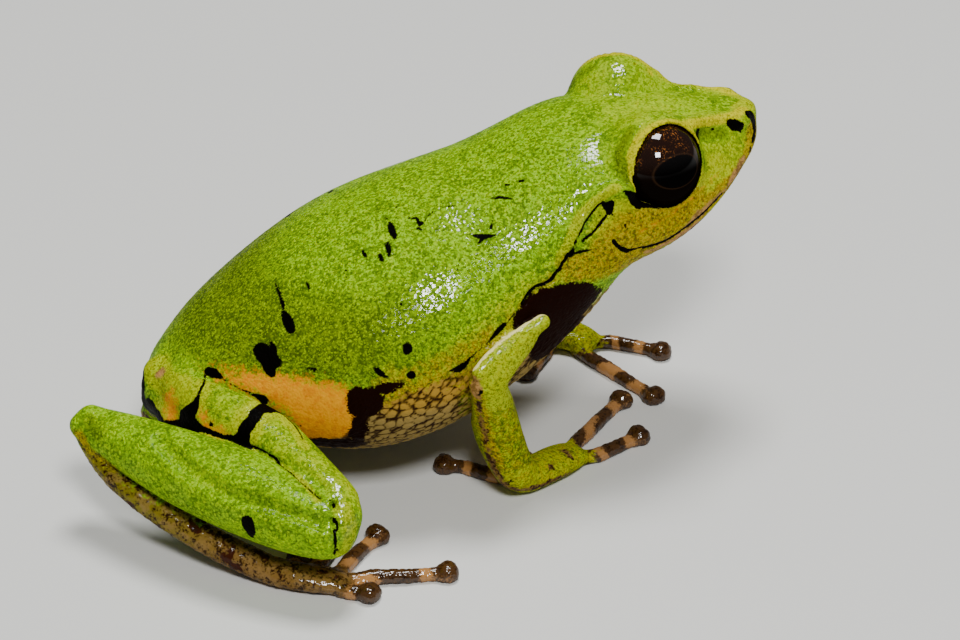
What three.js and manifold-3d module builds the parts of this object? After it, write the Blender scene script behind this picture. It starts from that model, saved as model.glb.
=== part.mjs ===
// A tree frog, life size, sitting with its forequarters raised, as a still museum model.
// Millimetres. +X is the way the frog faces, +Y its left and +Z up from the floor under its hands and feet.
import * as THREE from "three";
import { mergeVertices } from "three/addons/utils/BufferGeometryUtils.js";
import Module from "manifold-3d";

const wasm = await Module();
wasm.setup();

// Driving dimensions
const CUT = 0.2; // gap between one sub-part and the next
const SOLE_FLAT = 0.14; // how far soles and toe pads press below the floor before they are cut flat
const EYE_RADIUS = 2.4;
const LID = 0.22; // thickness of the eyelids over the eyeball
const BODY_SIDES = 24; // facets round the trunk and head
const LIMB_SIDES = 11;
const PALM_SIDES = 9;
const DIGIT_SIDES = 7;
const EYE_SIDES = 12; // facets round an eyeball
const EYE_BELTS = 8; // and from its top to its bottom
const CAP_RINGS = 1; // rings in a rounded end
const DIGIT_RADIUS = 0.44;
const KNUCKLE_SWELL = 1.12; // how much thicker a digit is at its joint
const PAD_RADIUS = 0.72;
const PAD_HEIGHT = 0.42; // half height of a toe pad
const PAD_CAP = 0.54; // length of a pad's rounded end

const RIGHT = -1; // the side with negative Y
const LEFT = 1;

// Colours, as sRGB
const BACK_GREEN = 0x7f9a1b;
const HEAD_GREEN = 0x8c9f1f;
const LIMB_GREEN = 0x8fae1e;
const SHANK_GREEN = 0x86ab20;
const TARSUS_BROWN = 0x8d7a3c;
const DIGIT_BROWN = 0x84654a;
const EYE_BROWN = 0x1c0e09;

const vec = (x, y, z) => new THREE.Vector3(x, y, z);
const UP = vec(0, 0, 1);
const FORWARD = vec(1, 0, 0);

// A cross-section of a fleshy form: its middle, half width and half heights above and below the middle.
// A positive taper makes it narrower at the top than at the bottom, and a positive square fills its corners.
function section(x, y, z, wide, above, below = above, taper = 0, square = 0) {
  return { x, y, z, wide, above, below, taper, square };
}

// The value with its sign kept and its size raised to a power.
const swell = (value, power) => Math.sign(value) * Math.abs(value) ** power;

// Hermite value between b and c at share t, with a and d on either side.
function between(a, b, c, d, t) {
  const leaving = (c - a) / 2;
  const arriving = (d - b) / 2;
  const t2 = t * t;
  const t3 = t2 * t;
  return (
    (2 * t3 - 3 * t2 + 1) * b + (t3 - 2 * t2 + t) * leaving + (3 * t2 - 2 * t3) * c + (t3 - t2) * arriving
  );
}

// The sections with smooth ones put between them, so that each span has the given number of steps.
function refine(sections, steps) {
  const last = sections.length - 1;
  const made = [];
  for (let i = 0; i < last; i++) {
    const near = [i - 1, i, i + 1, i + 2].map((k) => sections[Math.min(Math.max(k, 0), last)]);
    for (let step = 0; step < steps; step++) {
      const mixed = {};
      for (const key of Object.keys(sections[i])) {
        mixed[key] = between(...near.map((one) => one[key]), step / steps);
      }
      made.push(mixed);
    }
  }
  made.push(sections[last]);
  return made;
}

// A closed skin over the sections, with a rounded cap of the given length at each end.
// steer is the direction that each section's top leans to, and grow makes the form larger all round.
function loft(sections, { sides, steps, caps, steer = UP, grow = 0 }) {
  const rows = refine(sections, steps);
  const middles = rows.map((row) => vec(row.x, row.y, row.z));
  const positions = [];
  const index = [];
  const ring = (middle, across, top, row, scale) => {
    for (let k = 0; k < sides; k++) {
      const angle = (2 * Math.PI * k) / sides;
      const lift = swell(Math.sin(angle), 1 - row.square);
      const reach = swell(Math.cos(angle), 1 - row.square);
      const wide = (row.wide * (1 - row.taper * lift) + grow) * scale * reach;
      const high = ((lift > 0 ? row.above : row.below) + grow) * scale * lift;
      positions.push(...middle.clone().addScaledVector(across, wide).addScaledVector(top, high).toArray());
    }
  };
  const frames = rows.map((row, i) => {
    const ahead = middles[Math.min(i + 1, rows.length - 1)];
    const behind = middles[Math.max(i - 1, 0)];
    const along = ahead.clone().sub(behind).normalize();
    const across = steer.clone().cross(along).normalize();
    const top = along.clone().cross(across);
    return { along, across, top };
  });
  const cap = (i, sign, length) => {
    const { along, across, top } = frames[i];
    const rings = [];
    for (let k = 1; k <= CAP_RINGS; k++) {
      const angle = (Math.PI / 2) * (k / (CAP_RINGS + 1));
      const reach = (length + grow) * Math.sin(angle) * sign;
      rings.push({ middle: middles[i].clone().addScaledVector(along, reach), scale: Math.cos(angle) });
    }
    const pole = middles[i].clone().addScaledVector(along, (length + grow) * sign);
    return { across, top, row: rows[i], rings, pole };
  };
  const start = cap(0, -1, caps[0]);
  const end = cap(rows.length - 1, 1, caps[1]);
  for (const { middle, scale } of start.rings.toReversed()) {
    ring(middle, start.across, start.top, start.row, scale);
  }
  rows.forEach((row, i) => ring(middles[i], frames[i].across, frames[i].top, row, 1));
  for (const { middle, scale } of end.rings) {
    ring(middle, end.across, end.top, end.row, scale);
  }
  const rings = rows.length + 2 * CAP_RINGS;
  for (let i = 0; i + 1 < rings; i++) {
    for (let k = 0; k < sides; k++) {
      const next = (k + 1) % sides;
      const low = i * sides;
      const high = low + sides;
      index.push(low + k, low + next, high + k, low + next, high + next, high + k);
    }
  }
  const startPole = rings * sides;
  const endPole = startPole + 1;
  positions.push(...start.pole.toArray(), ...end.pole.toArray());
  for (let k = 0; k < sides; k++) {
    const next = (k + 1) % sides;
    const lastRing = (rings - 1) * sides;
    index.push(startPole, next, k, endPole, lastRing + k, lastRing + next);
  }
  const geometry = new THREE.BufferGeometry();
  geometry.setAttribute("position", new THREE.Float32BufferAttribute(positions, 3));
  geometry.setIndex(index);
  return geometry;
}

// A manifold solid of a three.js geometry.
function solid(geometry) {
  const bare = geometry.clone();
  bare.deleteAttribute("normal");
  bare.deleteAttribute("uv");
  const merged = mergeVertices(bare);
  const vertProperties = new Float32Array(merged.attributes.position.array);
  const triVerts = new Uint32Array(merged.index.array);
  return new wasm.Manifold(new wasm.Mesh({ numProp: 3, vertProperties, triVerts }));
}

// A three.js geometry of a manifold solid.
function surface(shape) {
  const mesh = shape.getMesh();
  const geometry = new THREE.BufferGeometry();
  geometry.setAttribute("position", new THREE.BufferAttribute(mesh.vertProperties.slice(), 3));
  geometry.setIndex(new THREE.BufferAttribute(mesh.triVerts.slice(), 1));
  geometry.computeVertexNormals();
  return geometry;
}

const FLOOR_SLAB = 60;
const floorBlock = solid(new THREE.BoxGeometry(FLOOR_SLAB, FLOOR_SLAB, FLOOR_SLAB).translate(0, 0, -FLOOR_SLAB / 2));

// A solid loft, less every neighbour given and less what lies under the floor.
function piece(build, neighbours) {
  let shape = solid(build(0));
  for (const neighbour of neighbours) {
    shape = shape.subtract(solid(neighbour(CUT)));
  }
  return shape.subtract(floorBlock);
}

const frog = new THREE.Group();
const turned = new THREE.Group();
frog.add(turned);

function addNode(name, shape, color, roughness) {
  const material = new THREE.MeshStandardMaterial({ color, roughness, metalness: 0 });
  const mesh = new THREE.Mesh(surface(shape), material);
  mesh.name = name;
  turned.add(mesh);
}

// ---- Trunk and head, lofted as one form and parted behind the eardrums ----

const bodySections = [
  section(-17.5, 0, 6.1, 2.5, 1.3, 1.5),
  section(-15.2, 0, 6.5, 4.7, 2.9, 3.1),
  section(-12.0, 0, 7.0, 6.6, 4.6, 4.6),
  section(-8.5, 0, 7.6, 8.0, 5.9, 6.1),
  section(-5.0, 0, 8.6, 8.4, 6.4, 6.5),
  section(-1.5, 0, 10.2, 7.8, 6.1, 6.3),
  section(2.0, 0, 12.3, 6.7, 5.2, 5.8),
  section(5.2, 0, 14.7, 6.1, 4.1, 4.5, 0.05, 0.05),
  section(8.0, 0.15, 15.4, 5.8, 3.7, 4.0, 0.1, 0.15),
  section(10.5, 0.3, 15.8, 4.55, 3.3, 3.15, 0.24, 0.26),
  section(12.6, 0.45, 16.2, 3.2, 2.55, 2.15, 0.28, 0.28),
  section(14.3, 0.6, 16.9, 2.1, 1.6, 1.45, 0.22, 0.2),
  section(15.1, 0.65, 17.2, 1.35, 1.0, 1.0, 0.12, 0.15),
];

function body(grow) {
  return loft(bodySections, { sides: BODY_SIDES, steps: 2, caps: [1.0, 0.5], grow });
}

const eyeMiddle = {
  [RIGHT]: vec(8.8, -3.05, 17.05),
  [LEFT]: vec(8.7, 3.65, 17.4),
};
const EYE_FORWARD = THREE.MathUtils.degToRad(16); // how far the eye looks forward of sideways
const EYE_UPWARD = THREE.MathUtils.degToRad(16);

function ball(middle, radius) {
  return new THREE.SphereGeometry(radius, EYE_SIDES, EYE_BELTS).rotateX(Math.PI / 2).translate(...middle.toArray());
}

// The way an eye looks out.
function gaze(side) {
  const level = Math.cos(EYE_UPWARD);
  return vec(Math.sin(EYE_FORWARD) * level, side * Math.cos(EYE_FORWARD) * level, Math.sin(EYE_UPWARD));
}

const NECK = vec(3.7, 0, 13.6);
const NECK_TILT = THREE.MathUtils.degToRad(-30);
const NECK_BLOCK = 40;

// Everything ahead of the neck plane (sign 1) or behind it (sign -1), reaching half the gap over it.
function beyondNeck(sign) {
  const block = new THREE.BoxGeometry(NECK_BLOCK, NECK_BLOCK, NECK_BLOCK);
  block.translate(sign * (NECK_BLOCK / 2 - CUT / 2), 0, 0).rotateY(NECK_TILT);
  return solid(block.translate(...NECK.toArray()));
}

const wholeBody = solid(body(0));
addNode("trunk", wholeBody.subtract(beyondNeck(1)).subtract(floorBlock), BACK_GREEN, 0.45);

// The lids end where a ball of this radius, set before the eye, meets them.
const LID_ARC = 3.9;
const LID_ARC_AHEAD = 4.1; // from the eyeball's middle to the middle of that ball
let head = wholeBody.subtract(beyondNeck(-1));
for (const side of [RIGHT, LEFT]) {
  head = head.add(solid(ball(eyeMiddle[side], EYE_RADIUS + LID)));
}
for (const side of [RIGHT, LEFT]) {
  const opening = eyeMiddle[side].clone().addScaledVector(gaze(side), LID_ARC_AHEAD);
  head = head.subtract(solid(ball(eyeMiddle[side], EYE_RADIUS + CUT)));
  head = head.subtract(solid(ball(opening, LID_ARC)));
}
addNode("head", head, HEAD_GREEN, 0.45);
for (const side of [RIGHT, LEFT]) {
  addNode(side === RIGHT ? "eye_r" : "eye_l", solid(ball(eyeMiddle[side], EYE_RADIUS)), EYE_BROWN, 0.05);
}

// ---- Limbs. Their points are written with y outward, and side puts them on the right or the left ----

const onSide = (sections, side) => sections.map((one) => ({ ...one, y: one.y * side }));

const arms = {
  [RIGHT]: {
    upper: [
      section(1.9, 5.0, 11.4, 1.3, 1.3),
      section(0.9, 6.6, 10.6, 1.1, 1.1),
      section(-0.8, 7.8, 9.6, 1.1, 1.1),
      section(-2.1, 8.1, 8.3, 1.2, 1.2),
    ],
    fore: [
      section(-1.9, 7.9, 8.1, 1.2, 1.2),
      section(-1.3, 7.3, 5.9, 1.28, 1.28),
      section(-0.9, 7.1, 4.2, 1.3, 1.3),
      section(-0.3, 7.1, 2.4, 1.18, 1.2),
      section(0.2, 7.1, 1.3, 1.1, 1.1),
    ],
    palm: vec(2.2, 6.1, 0),
    turn: 0,
    splay: [0, 0, 0, 0],
  },
  [LEFT]: {
    upper: [
      section(3.4, 4.2, 9.8, 1.3, 1.3),
      section(1.7, 6.6, 9.0, 1.1, 1.1),
      section(0.5, 8.4, 8.0, 1.05, 1.05),
      section(-0.1, 9.5, 6.9, 1.2, 1.2),
    ],
    fore: [
      section(0.0, 9.6, 6.8, 1.15, 1.15),
      section(1.0, 9.5, 5.6, 1.28, 1.28),
      section(2.3, 9.3, 4.1, 1.3, 1.3),
      section(3.7, 9.0, 2.4, 1.18, 1.2),
      section(4.7, 8.8, 1.3, 1.1, 1.1),
    ],
    palm: vec(6.5, 7.5, 0),
    turn: THREE.MathUtils.degToRad(11),
    splay: [0, 0, THREE.MathUtils.degToRad(9), 0],
  },
};

// Middle lines of the palm and fingers from the palm's middle, with y outward.
const palmPath = [
  [-1.7, 0.8, 0.85, 0.95, 0.9],
  [-0.6, 0.1, 0.75, 1.2, 0.8],
  [0.8, -0.7, 0.65, 1.3, 0.7],
  [1.9, -1.35, 0.5, 1.15, 0.55],
];
const fingerPaths = [
  [[-1.9, 0.2], [-3.2, -0.9], [-4.3, -1.9], [-5.2, -2.3]],
  [[-0.5, -0.4], [-0.8, -1.9], [-1.4, -3.1], [-2.0, -3.9]],
  [[1.4, -1.7], [3.1, -3.3], [4.6, -4.8], [5.9, -6.0]],
  [[1.7, -1.0], [3.1, -1.05], [4.7, -1.75], [5.8, -2.25]],
];

// A place in the hand's or foot's own flat frame, turned inward and moved to its place on the floor.
function placed([x, y], { origin, turn }) {
  const cos = Math.cos(turn);
  const sin = Math.sin(turn);
  return [origin.x + x * cos + y * sin, origin.y - x * sin + y * cos];
}

// A pad's sections: how far each is past the digit's end and its half width, as shares of the pad's radius.
const padOutline = [
  [-0.95, 0.58],
  [-0.45, 0.92],
  [0.2, 1.0],
];

// Sections of one finger or toe, ending in a round pad.
function digitSections(path, place) {
  const level = DIGIT_RADIUS - SOLE_FLAT;
  const sections = path.map((point, i) => {
    const [x, y] = placed(point, place);
    const radius = i === 1 ? DIGIT_RADIUS * KNUCKLE_SWELL : DIGIT_RADIUS;
    return section(x, y, level, radius, radius);
  });
  const tip = sections.at(-1);
  const before = sections.at(-2);
  const run = vec(tip.x - before.x, tip.y - before.y, 0).normalize();
  sections.pop();
  for (const [past, wide] of padOutline) {
    const reach = past * PAD_RADIUS;
    const level = PAD_HEIGHT - SOLE_FLAT;
    sections.push(section(tip.x + run.x * reach, tip.y + run.y * reach, level, wide * PAD_RADIUS, PAD_HEIGHT));
  }
  return sections;
}

function digit(path, place, side) {
  const sections = onSide(digitSections(path, place), side);
  return (grow) => loft(sections, { sides: DIGIT_SIDES, steps: 1, caps: [0.3, PAD_CAP], grow });
}

function flatLimb(path, place, side, caps) {
  const sections = path.map(([x, y, z, wide, high]) => {
    const [px, py] = placed([x, y], place);
    return section(px, py, z, wide, high, Math.min(high, z + SOLE_FLAT));
  });
  return (grow) => loft(onSide(sections, side), { sides: PALM_SIDES, steps: 2, caps, grow });
}

function roundLimb(sections, side, caps, steer = UP) {
  const own = onSide(sections, side);
  return (grow) => loft(own, { sides: LIMB_SIDES, steps: 2, caps, steer, grow });
}

const suffix = (side) => (side === RIGHT ? "r" : "l");

function addArm(side) {
  const arm = arms[side];
  const place = { origin: arm.palm, turn: arm.turn };
  const upper = roundLimb(arm.upper, side, [0.8, 1.0]);
  const fore = roundLimb(arm.fore, side, [1.0, 0.7], FORWARD);
  const hand = flatLimb(palmPath, place, side, [0.8, 0.5]);
  addNode(`upper_arm_${suffix(side)}`, piece(upper, [body]), LIMB_GREEN, 0.4);
  addNode(`forearm_${suffix(side)}`, piece(fore, [body, upper]), LIMB_GREEN, 0.4);
  addNode(`hand_${suffix(side)}`, piece(hand, [fore]), LIMB_GREEN, 0.4);
  const done = [fore, hand];
  fingerPaths.forEach((path, i) => {
    const finger = digit(path, { origin: arm.palm, turn: arm.turn + arm.splay[i] }, side);
    addNode(`finger_${i + 1}_${suffix(side)}`, piece(finger, done), DIGIT_BROWN, 0.3);
    done.push(finger);
  });
}

const legs = {
  [RIGHT]: {
    thigh: [
      section(-16.4, 1.4, 6.2, 2.1, 2.2),
      section(-15.4, 3.9, 6.3, 2.2, 2.2),
      section(-13.6, 7.4, 5.8, 1.9, 1.9),
      section(-12.0, 10.8, 5.2, 1.7, 1.6),
      section(-11.0, 13.0, 4.9, 1.55, 1.5, 1.7),
    ],
    shank: [
      section(-22.1, 3.0, 5.7, 1.1, 1.1),
      section(-20.6, 4.6, 5.5, 1.5, 1.5),
      section(-18.2, 7.1, 5.1, 2.0, 2.0),
      section(-15.4, 10.0, 4.8, 2.2, 2.2),
      section(-13.0, 12.3, 4.5, 2.0, 1.8, 2.15),
      section(-11.4, 13.7, 4.3, 1.7, 1.3, 1.8),
    ],
    tarsus: [
      section(-22.1, 3.5, 4.8, 0.8, 0.8),
      section(-21.1, 5.5, 3.8, 0.82, 0.82),
      section(-19.2, 7.45, 2.55, 0.82, 0.82),
      section(-16.7, 9.65, 1.4, 0.84, 0.8),
      section(-14.8, 11.1, 0.8, 0.87, 0.8),
    ],
    sole: vec(-12.7, 12.4, 0),
    turn: 0,
  },
  [LEFT]: {
    thigh: [
      section(-14.3, 1.6, 5.9, 2.0, 2.0),
      section(-13.3, 4.6, 5.7, 2.1, 2.0),
      section(-10.9, 7.7, 5.8, 1.9, 1.8),
      section(-8.6, 10.7, 5.5, 1.7, 1.7),
      section(-7.7, 11.9, 5.0, 1.55, 1.6),
    ],
    shank: [
      section(-17.4, 2.6, 2.8, 1.1, 1.1),
      section(-16.1, 3.9, 3.1, 1.5, 1.5),
      section(-13.9, 6.2, 3.5, 2.0, 2.0),
      section(-11.1, 8.9, 4.0, 2.2, 2.2),
      section(-8.9, 11.1, 4.3, 2.15, 2.15),
      section(-7.4, 12.6, 4.4, 1.75, 1.8),
    ],
    tarsus: [
      section(-17.7, 3.1, 1.8, 0.85, 0.85),
      section(-16.7, 4.9, 1.45, 0.8, 0.8),
      section(-15.0, 7.0, 1.0, 0.75, 0.75),
      section(-13.1, 9.0, 0.75, 0.8, 0.75),
      section(-11.4, 10.6, 0.7, 0.85, 0.8),
    ],
    sole: vec(-9.3, 11.9, 0),
    turn: 0,
  },
};

// Middle lines of the sole and toes from the sole's middle, with y outward.
const solePath = [
  [-2.0, -1.2, 0.72, 0.85, 0.75],
  [-0.9, -0.4, 0.66, 0.95, 0.7],
  [0.6, 0.3, 0.56, 1.05, 0.6],
  [1.7, 0.7, 0.46, 0.95, 0.5],
];
const toePaths = [
  [[-0.6, -0.9], [-0.2, -1.6], [0.1, -2.3]],
  [[0.4, -0.6], [1.2, -1.6], [1.9, -2.5], [2.3, -3.2]],
  [[1.6, 0.0], [2.7, -1.3], [3.6, -2.2], [4.6, -3.0]],
  [[1.9, 0.6], [3.4, 0.5], [5.2, 0.9], [7.3, 1.15]],
  [[1.5, 1.2], [2.2, 1.65], [3.0, 1.75]],
];

function addLeg(side) {
  const leg = legs[side];
  const place = { origin: leg.sole, turn: leg.turn };
  const thigh = roundLimb(leg.thigh, side, [0.8, 1.2]);
  const shank = roundLimb(leg.shank, side, [0.9, 1.3]);
  const tarsus = roundLimb(leg.tarsus, side, [0.7, 0.5]);
  const foot = flatLimb(solePath, place, side, [0.5, 0.5]);
  addNode(`shank_${suffix(side)}`, piece(shank, [body]), SHANK_GREEN, 0.4);
  addNode(`thigh_${suffix(side)}`, piece(thigh, [body, shank]), LIMB_GREEN, 0.4);
  addNode(`tarsus_${suffix(side)}`, piece(tarsus, [body, shank, thigh]), TARSUS_BROWN, 0.35);
  addNode(`foot_${suffix(side)}`, piece(foot, [shank, tarsus]), DIGIT_BROWN, 0.3);
  const done = [shank, tarsus, foot];
  toePaths.forEach((path, i) => {
    const toe = digit(path, place, side);
    addNode(`toe_${i + 1}_${suffix(side)}`, piece(toe, done), DIGIT_BROWN, 0.3);
    done.push(toe);
  });
}

for (const side of [RIGHT, LEFT]) {
  addArm(side);
  addLeg(side);
}

// The origin goes to the floor under the middle of the frog's bounding box.
const bounds = new THREE.Box3().setFromObject(turned);
const middle = bounds.getCenter(vec(0, 0, 0));
turned.position.set(-middle.x, -middle.y, -bounds.min.z);

export default frog;
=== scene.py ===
"""A life-size tree frog as a still museum model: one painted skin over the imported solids, and two wet eyes.

The skin is modelled as a field of signed distances on a lattice of voxels. The solids of each limb are
filled into it, joined and softened, the lids, nostrils, mouth, eardrums and creases are worked in, and the
surface is taken off as one mesh. Its markings are laid down as distances from named spots, bars and lines.

Units: millimetres in the frog's own frame (+X forward, +Y to its left, +Z up from the floor) until a mesh is
made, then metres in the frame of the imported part.
"""

import logging
import math
from dataclasses import dataclass, field
from enum import Enum
from typing import Callable, Iterable, Mapping, Sequence

import bpy
import numpy as np
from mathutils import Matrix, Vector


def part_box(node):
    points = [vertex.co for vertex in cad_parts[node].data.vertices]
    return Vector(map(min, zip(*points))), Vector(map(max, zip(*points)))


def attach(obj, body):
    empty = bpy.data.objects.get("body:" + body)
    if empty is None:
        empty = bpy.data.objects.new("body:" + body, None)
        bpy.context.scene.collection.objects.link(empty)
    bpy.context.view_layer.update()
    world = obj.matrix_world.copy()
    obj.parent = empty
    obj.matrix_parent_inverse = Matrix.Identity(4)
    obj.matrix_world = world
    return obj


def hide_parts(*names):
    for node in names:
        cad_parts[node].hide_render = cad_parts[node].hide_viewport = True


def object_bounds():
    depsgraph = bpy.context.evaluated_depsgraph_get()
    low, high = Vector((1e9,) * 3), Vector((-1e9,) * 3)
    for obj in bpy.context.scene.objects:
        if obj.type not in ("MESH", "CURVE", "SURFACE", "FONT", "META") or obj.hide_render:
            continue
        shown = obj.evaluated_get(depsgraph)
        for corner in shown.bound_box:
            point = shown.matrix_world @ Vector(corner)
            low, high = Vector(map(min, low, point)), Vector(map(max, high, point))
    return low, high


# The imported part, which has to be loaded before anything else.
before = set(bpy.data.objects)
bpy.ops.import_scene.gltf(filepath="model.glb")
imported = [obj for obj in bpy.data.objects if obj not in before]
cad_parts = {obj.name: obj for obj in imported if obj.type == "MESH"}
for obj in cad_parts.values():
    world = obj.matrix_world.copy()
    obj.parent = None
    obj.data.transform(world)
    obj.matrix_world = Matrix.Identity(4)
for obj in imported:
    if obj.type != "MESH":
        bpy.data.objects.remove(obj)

import openvdb
from mathutils import Vector

CAD_LOW, CAD_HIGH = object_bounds()

log = logging.getLogger("tree_frog")

# Metres in a millimetre, the lattice's spacing, how far from a surface its field is measured, and the seed
# of all noise.
MM = 0.001
VOXEL = 0.13
BAND = 2.0
SEED = 11

# Sizes of the skin's patterns in millimetres. A live frog's granules are 0.05 to 0.1 across and its specks of
# pigment finer still. Both are too fine to show on a whole frog, so they are drawn about twice as coarse, and
# the granules of the mesh three voxels wide. Clumps and belly cobbles have their real sizes, and the small
# black dots their real spacing.
GRANULE = 0.15
PIGMENT = 0.08
MESH_GRANULE = 0.4
CLUMP = 0.3
BELLY_COBBLE = 0.55
DOT_SPACING = 1.1

Point = tuple[float, float, float]
Curve = Sequence[Point]
# A line of a marking: its corners, and its radius at each of them or one radius for all.
Line = tuple[Curve, Sequence[float]]
# A soft stroke of a marking: its corners, its radius, the reach over which it fades and its amount.
Stroke = tuple[Curve, float, float, float]
Slices = tuple[slice, ...]
Socket = bpy.types.NodeSocket
Value = bpy.types.NodeSocket | float


class Side(Enum):
    """The frog's two sides, by the sign of Y."""

    RIGHT = -1
    LEFT = 1

    @property
    def mark(self) -> str:
        """The ending of this side's node names."""
        return "r" if self is Side.RIGHT else "l"

    def place(self, x: float, out: float, z: float) -> Point:
        """A point given with its distance outward in place of Y."""
        return (x, out * self.value, z)

    def on_head(self, x: float, across: float, z: float) -> Point:
        """A point of the head, which is turned a little to the left.

        Args:
            x: how far forward it lies.
            across: how far to the right of the body's middle its like on the right of the head lies.
            z: its height.

        Returns:
            The point on this side of the head.
        """
        if self is Side.RIGHT:
            return (x, -across, z)
        return (x, across + 2 * float(np.interp(x, HEAD_MIDLINE_X, HEAD_MIDLINE)), z)

    def line(self, curve: Curve) -> list[Point]:
        """A line of the body or a limb, placed on this side."""
        return [self.place(*p) for p in curve]

    def head(self, curve: Curve) -> list[Point]:
        """A line of the head, placed on this side of it."""
        return [self.on_head(*p) for p in curve]

    def thigh(self, curve: Curve) -> list[Point]:
        """A line given on the right thigh, carried to this side's thigh by the hip."""
        shift = np.array(HIP[self]) - np.array(self.place(*THIGH_FROM))
        return [tuple(np.array(self.place(*p)) + shift) for p in curve]


# How far to the left of the body's middle the head's own middle lies, by how far forward.
HEAD_MIDLINE_X = (5.2, 8.0, 10.5, 12.6, 15.1)
HEAD_MIDLINE = (0.0, 0.15, 0.3, 0.45, 0.65)

# The frog's own frame is tied to the part's by the middle of the right eyeball.
EYE_RADIUS = 2.4
EYE_MIDDLE: Mapping[Side, Point] = {Side.RIGHT: (8.8, -3.05, 17.05), Side.LEFT: (8.7, 3.65, 17.4)}
GAZE_FORWARD = math.radians(16)
GAZE_UP = math.radians(15)


def part_shift() -> np.ndarray:
    """Finds where the frog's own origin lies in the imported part's frame.

    Returns:
        The shift in millimetres from the frog's own frame to the part's.
    """
    low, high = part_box("eye_r")
    middle = (np.array(low) + np.array(high)) / 2 / MM
    return middle - np.array(EYE_MIDDLE[Side.RIGHT])


SHIFT = part_shift()


def gaze_frame(side: Side) -> tuple[np.ndarray, np.ndarray, np.ndarray]:
    """The way an eye looks out, the way ahead across its lids and the way up across them."""
    level = math.cos(GAZE_UP)
    turned = side.value * math.cos(GAZE_FORWARD)
    out = np.array([math.sin(GAZE_FORWARD) * level, turned * level, math.sin(GAZE_UP)])
    ahead = np.array([math.cos(GAZE_FORWARD), -side.value * math.sin(GAZE_FORWARD), 0.0])
    above = np.cross(ahead, out) * side.value
    return out, ahead, above


# ---- Distances and fields ----


def smooth_min(a: np.ndarray, b: np.ndarray, blend: float | np.ndarray) -> np.ndarray:
    """Joins two fields with a fillet.

    Args:
        a: one field.
        b: the other field.
        blend: how far apart the two distances may be and still run together, in millimetres.

    Returns:
        The joined field.
    """
    near = np.clip(blend - np.abs(a - b), 0, None) / blend
    return (np.minimum(a, b) - near * near * blend / 4).astype(np.float32)


def smooth_max(a: np.ndarray, b: np.ndarray, blend: float | np.ndarray) -> np.ndarray:
    """Intersects two fields with a rounded edge."""
    return -smooth_min(-a, -b, blend)


def tube_distance(points: np.ndarray, curve: Curve, radii: Sequence[float]) -> np.ndarray:
    """Distance from points to a round rope along a curve.

    Args:
        points: places, with their coordinates last.
        curve: the corners of the rope's middle line.
        radii: its radius at each corner.

    Returns:
        The distance to its surface, negative inside.
    """
    best = np.full(points.shape[:-1], np.inf, np.float32)
    for start, end, thick, thin in zip(curve, curve[1:], radii, radii[1:]):
        a = np.asarray(start, np.float32)
        run = np.asarray(end, np.float32) - a
        rel = points - a
        share = np.clip((rel @ run) / float(run @ run), 0, 1)
        away = rel - share[..., None] * run
        best = np.minimum(best, np.sqrt((away**2).sum(-1)) - (thick + (thin - thick) * share))
    return best


def smooth_curve(corners: Curve, steps: int = 6) -> list[Point]:
    """A Catmull-Rom curve through the corners, as short straight runs."""
    knots = np.asarray([corners[0], *corners, corners[-1]], float)
    made: list[Point] = []
    for a, b, c, d in zip(knots, knots[1:], knots[2:], knots[3:]):
        bend = 2 * a - 5 * b + 4 * c - d
        twist = 3 * b - a - 3 * c + d
        for t in np.arange(steps) / steps:
            made.append(tuple(0.5 * (2 * b + (c - a) * t + bend * t**2 + twist * t**3)))
    made.append(tuple(knots[-1]))
    return made


def node_points(name: str) -> np.ndarray:
    """The corners of one of the part's solids, in millimetres in the frog's own frame."""
    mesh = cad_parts[name].data
    made = np.empty(len(mesh.vertices) * 3, np.float32)
    mesh.vertices.foreach_get("co", made)
    return made.reshape(-1, 3) / MM - SHIFT


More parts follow.
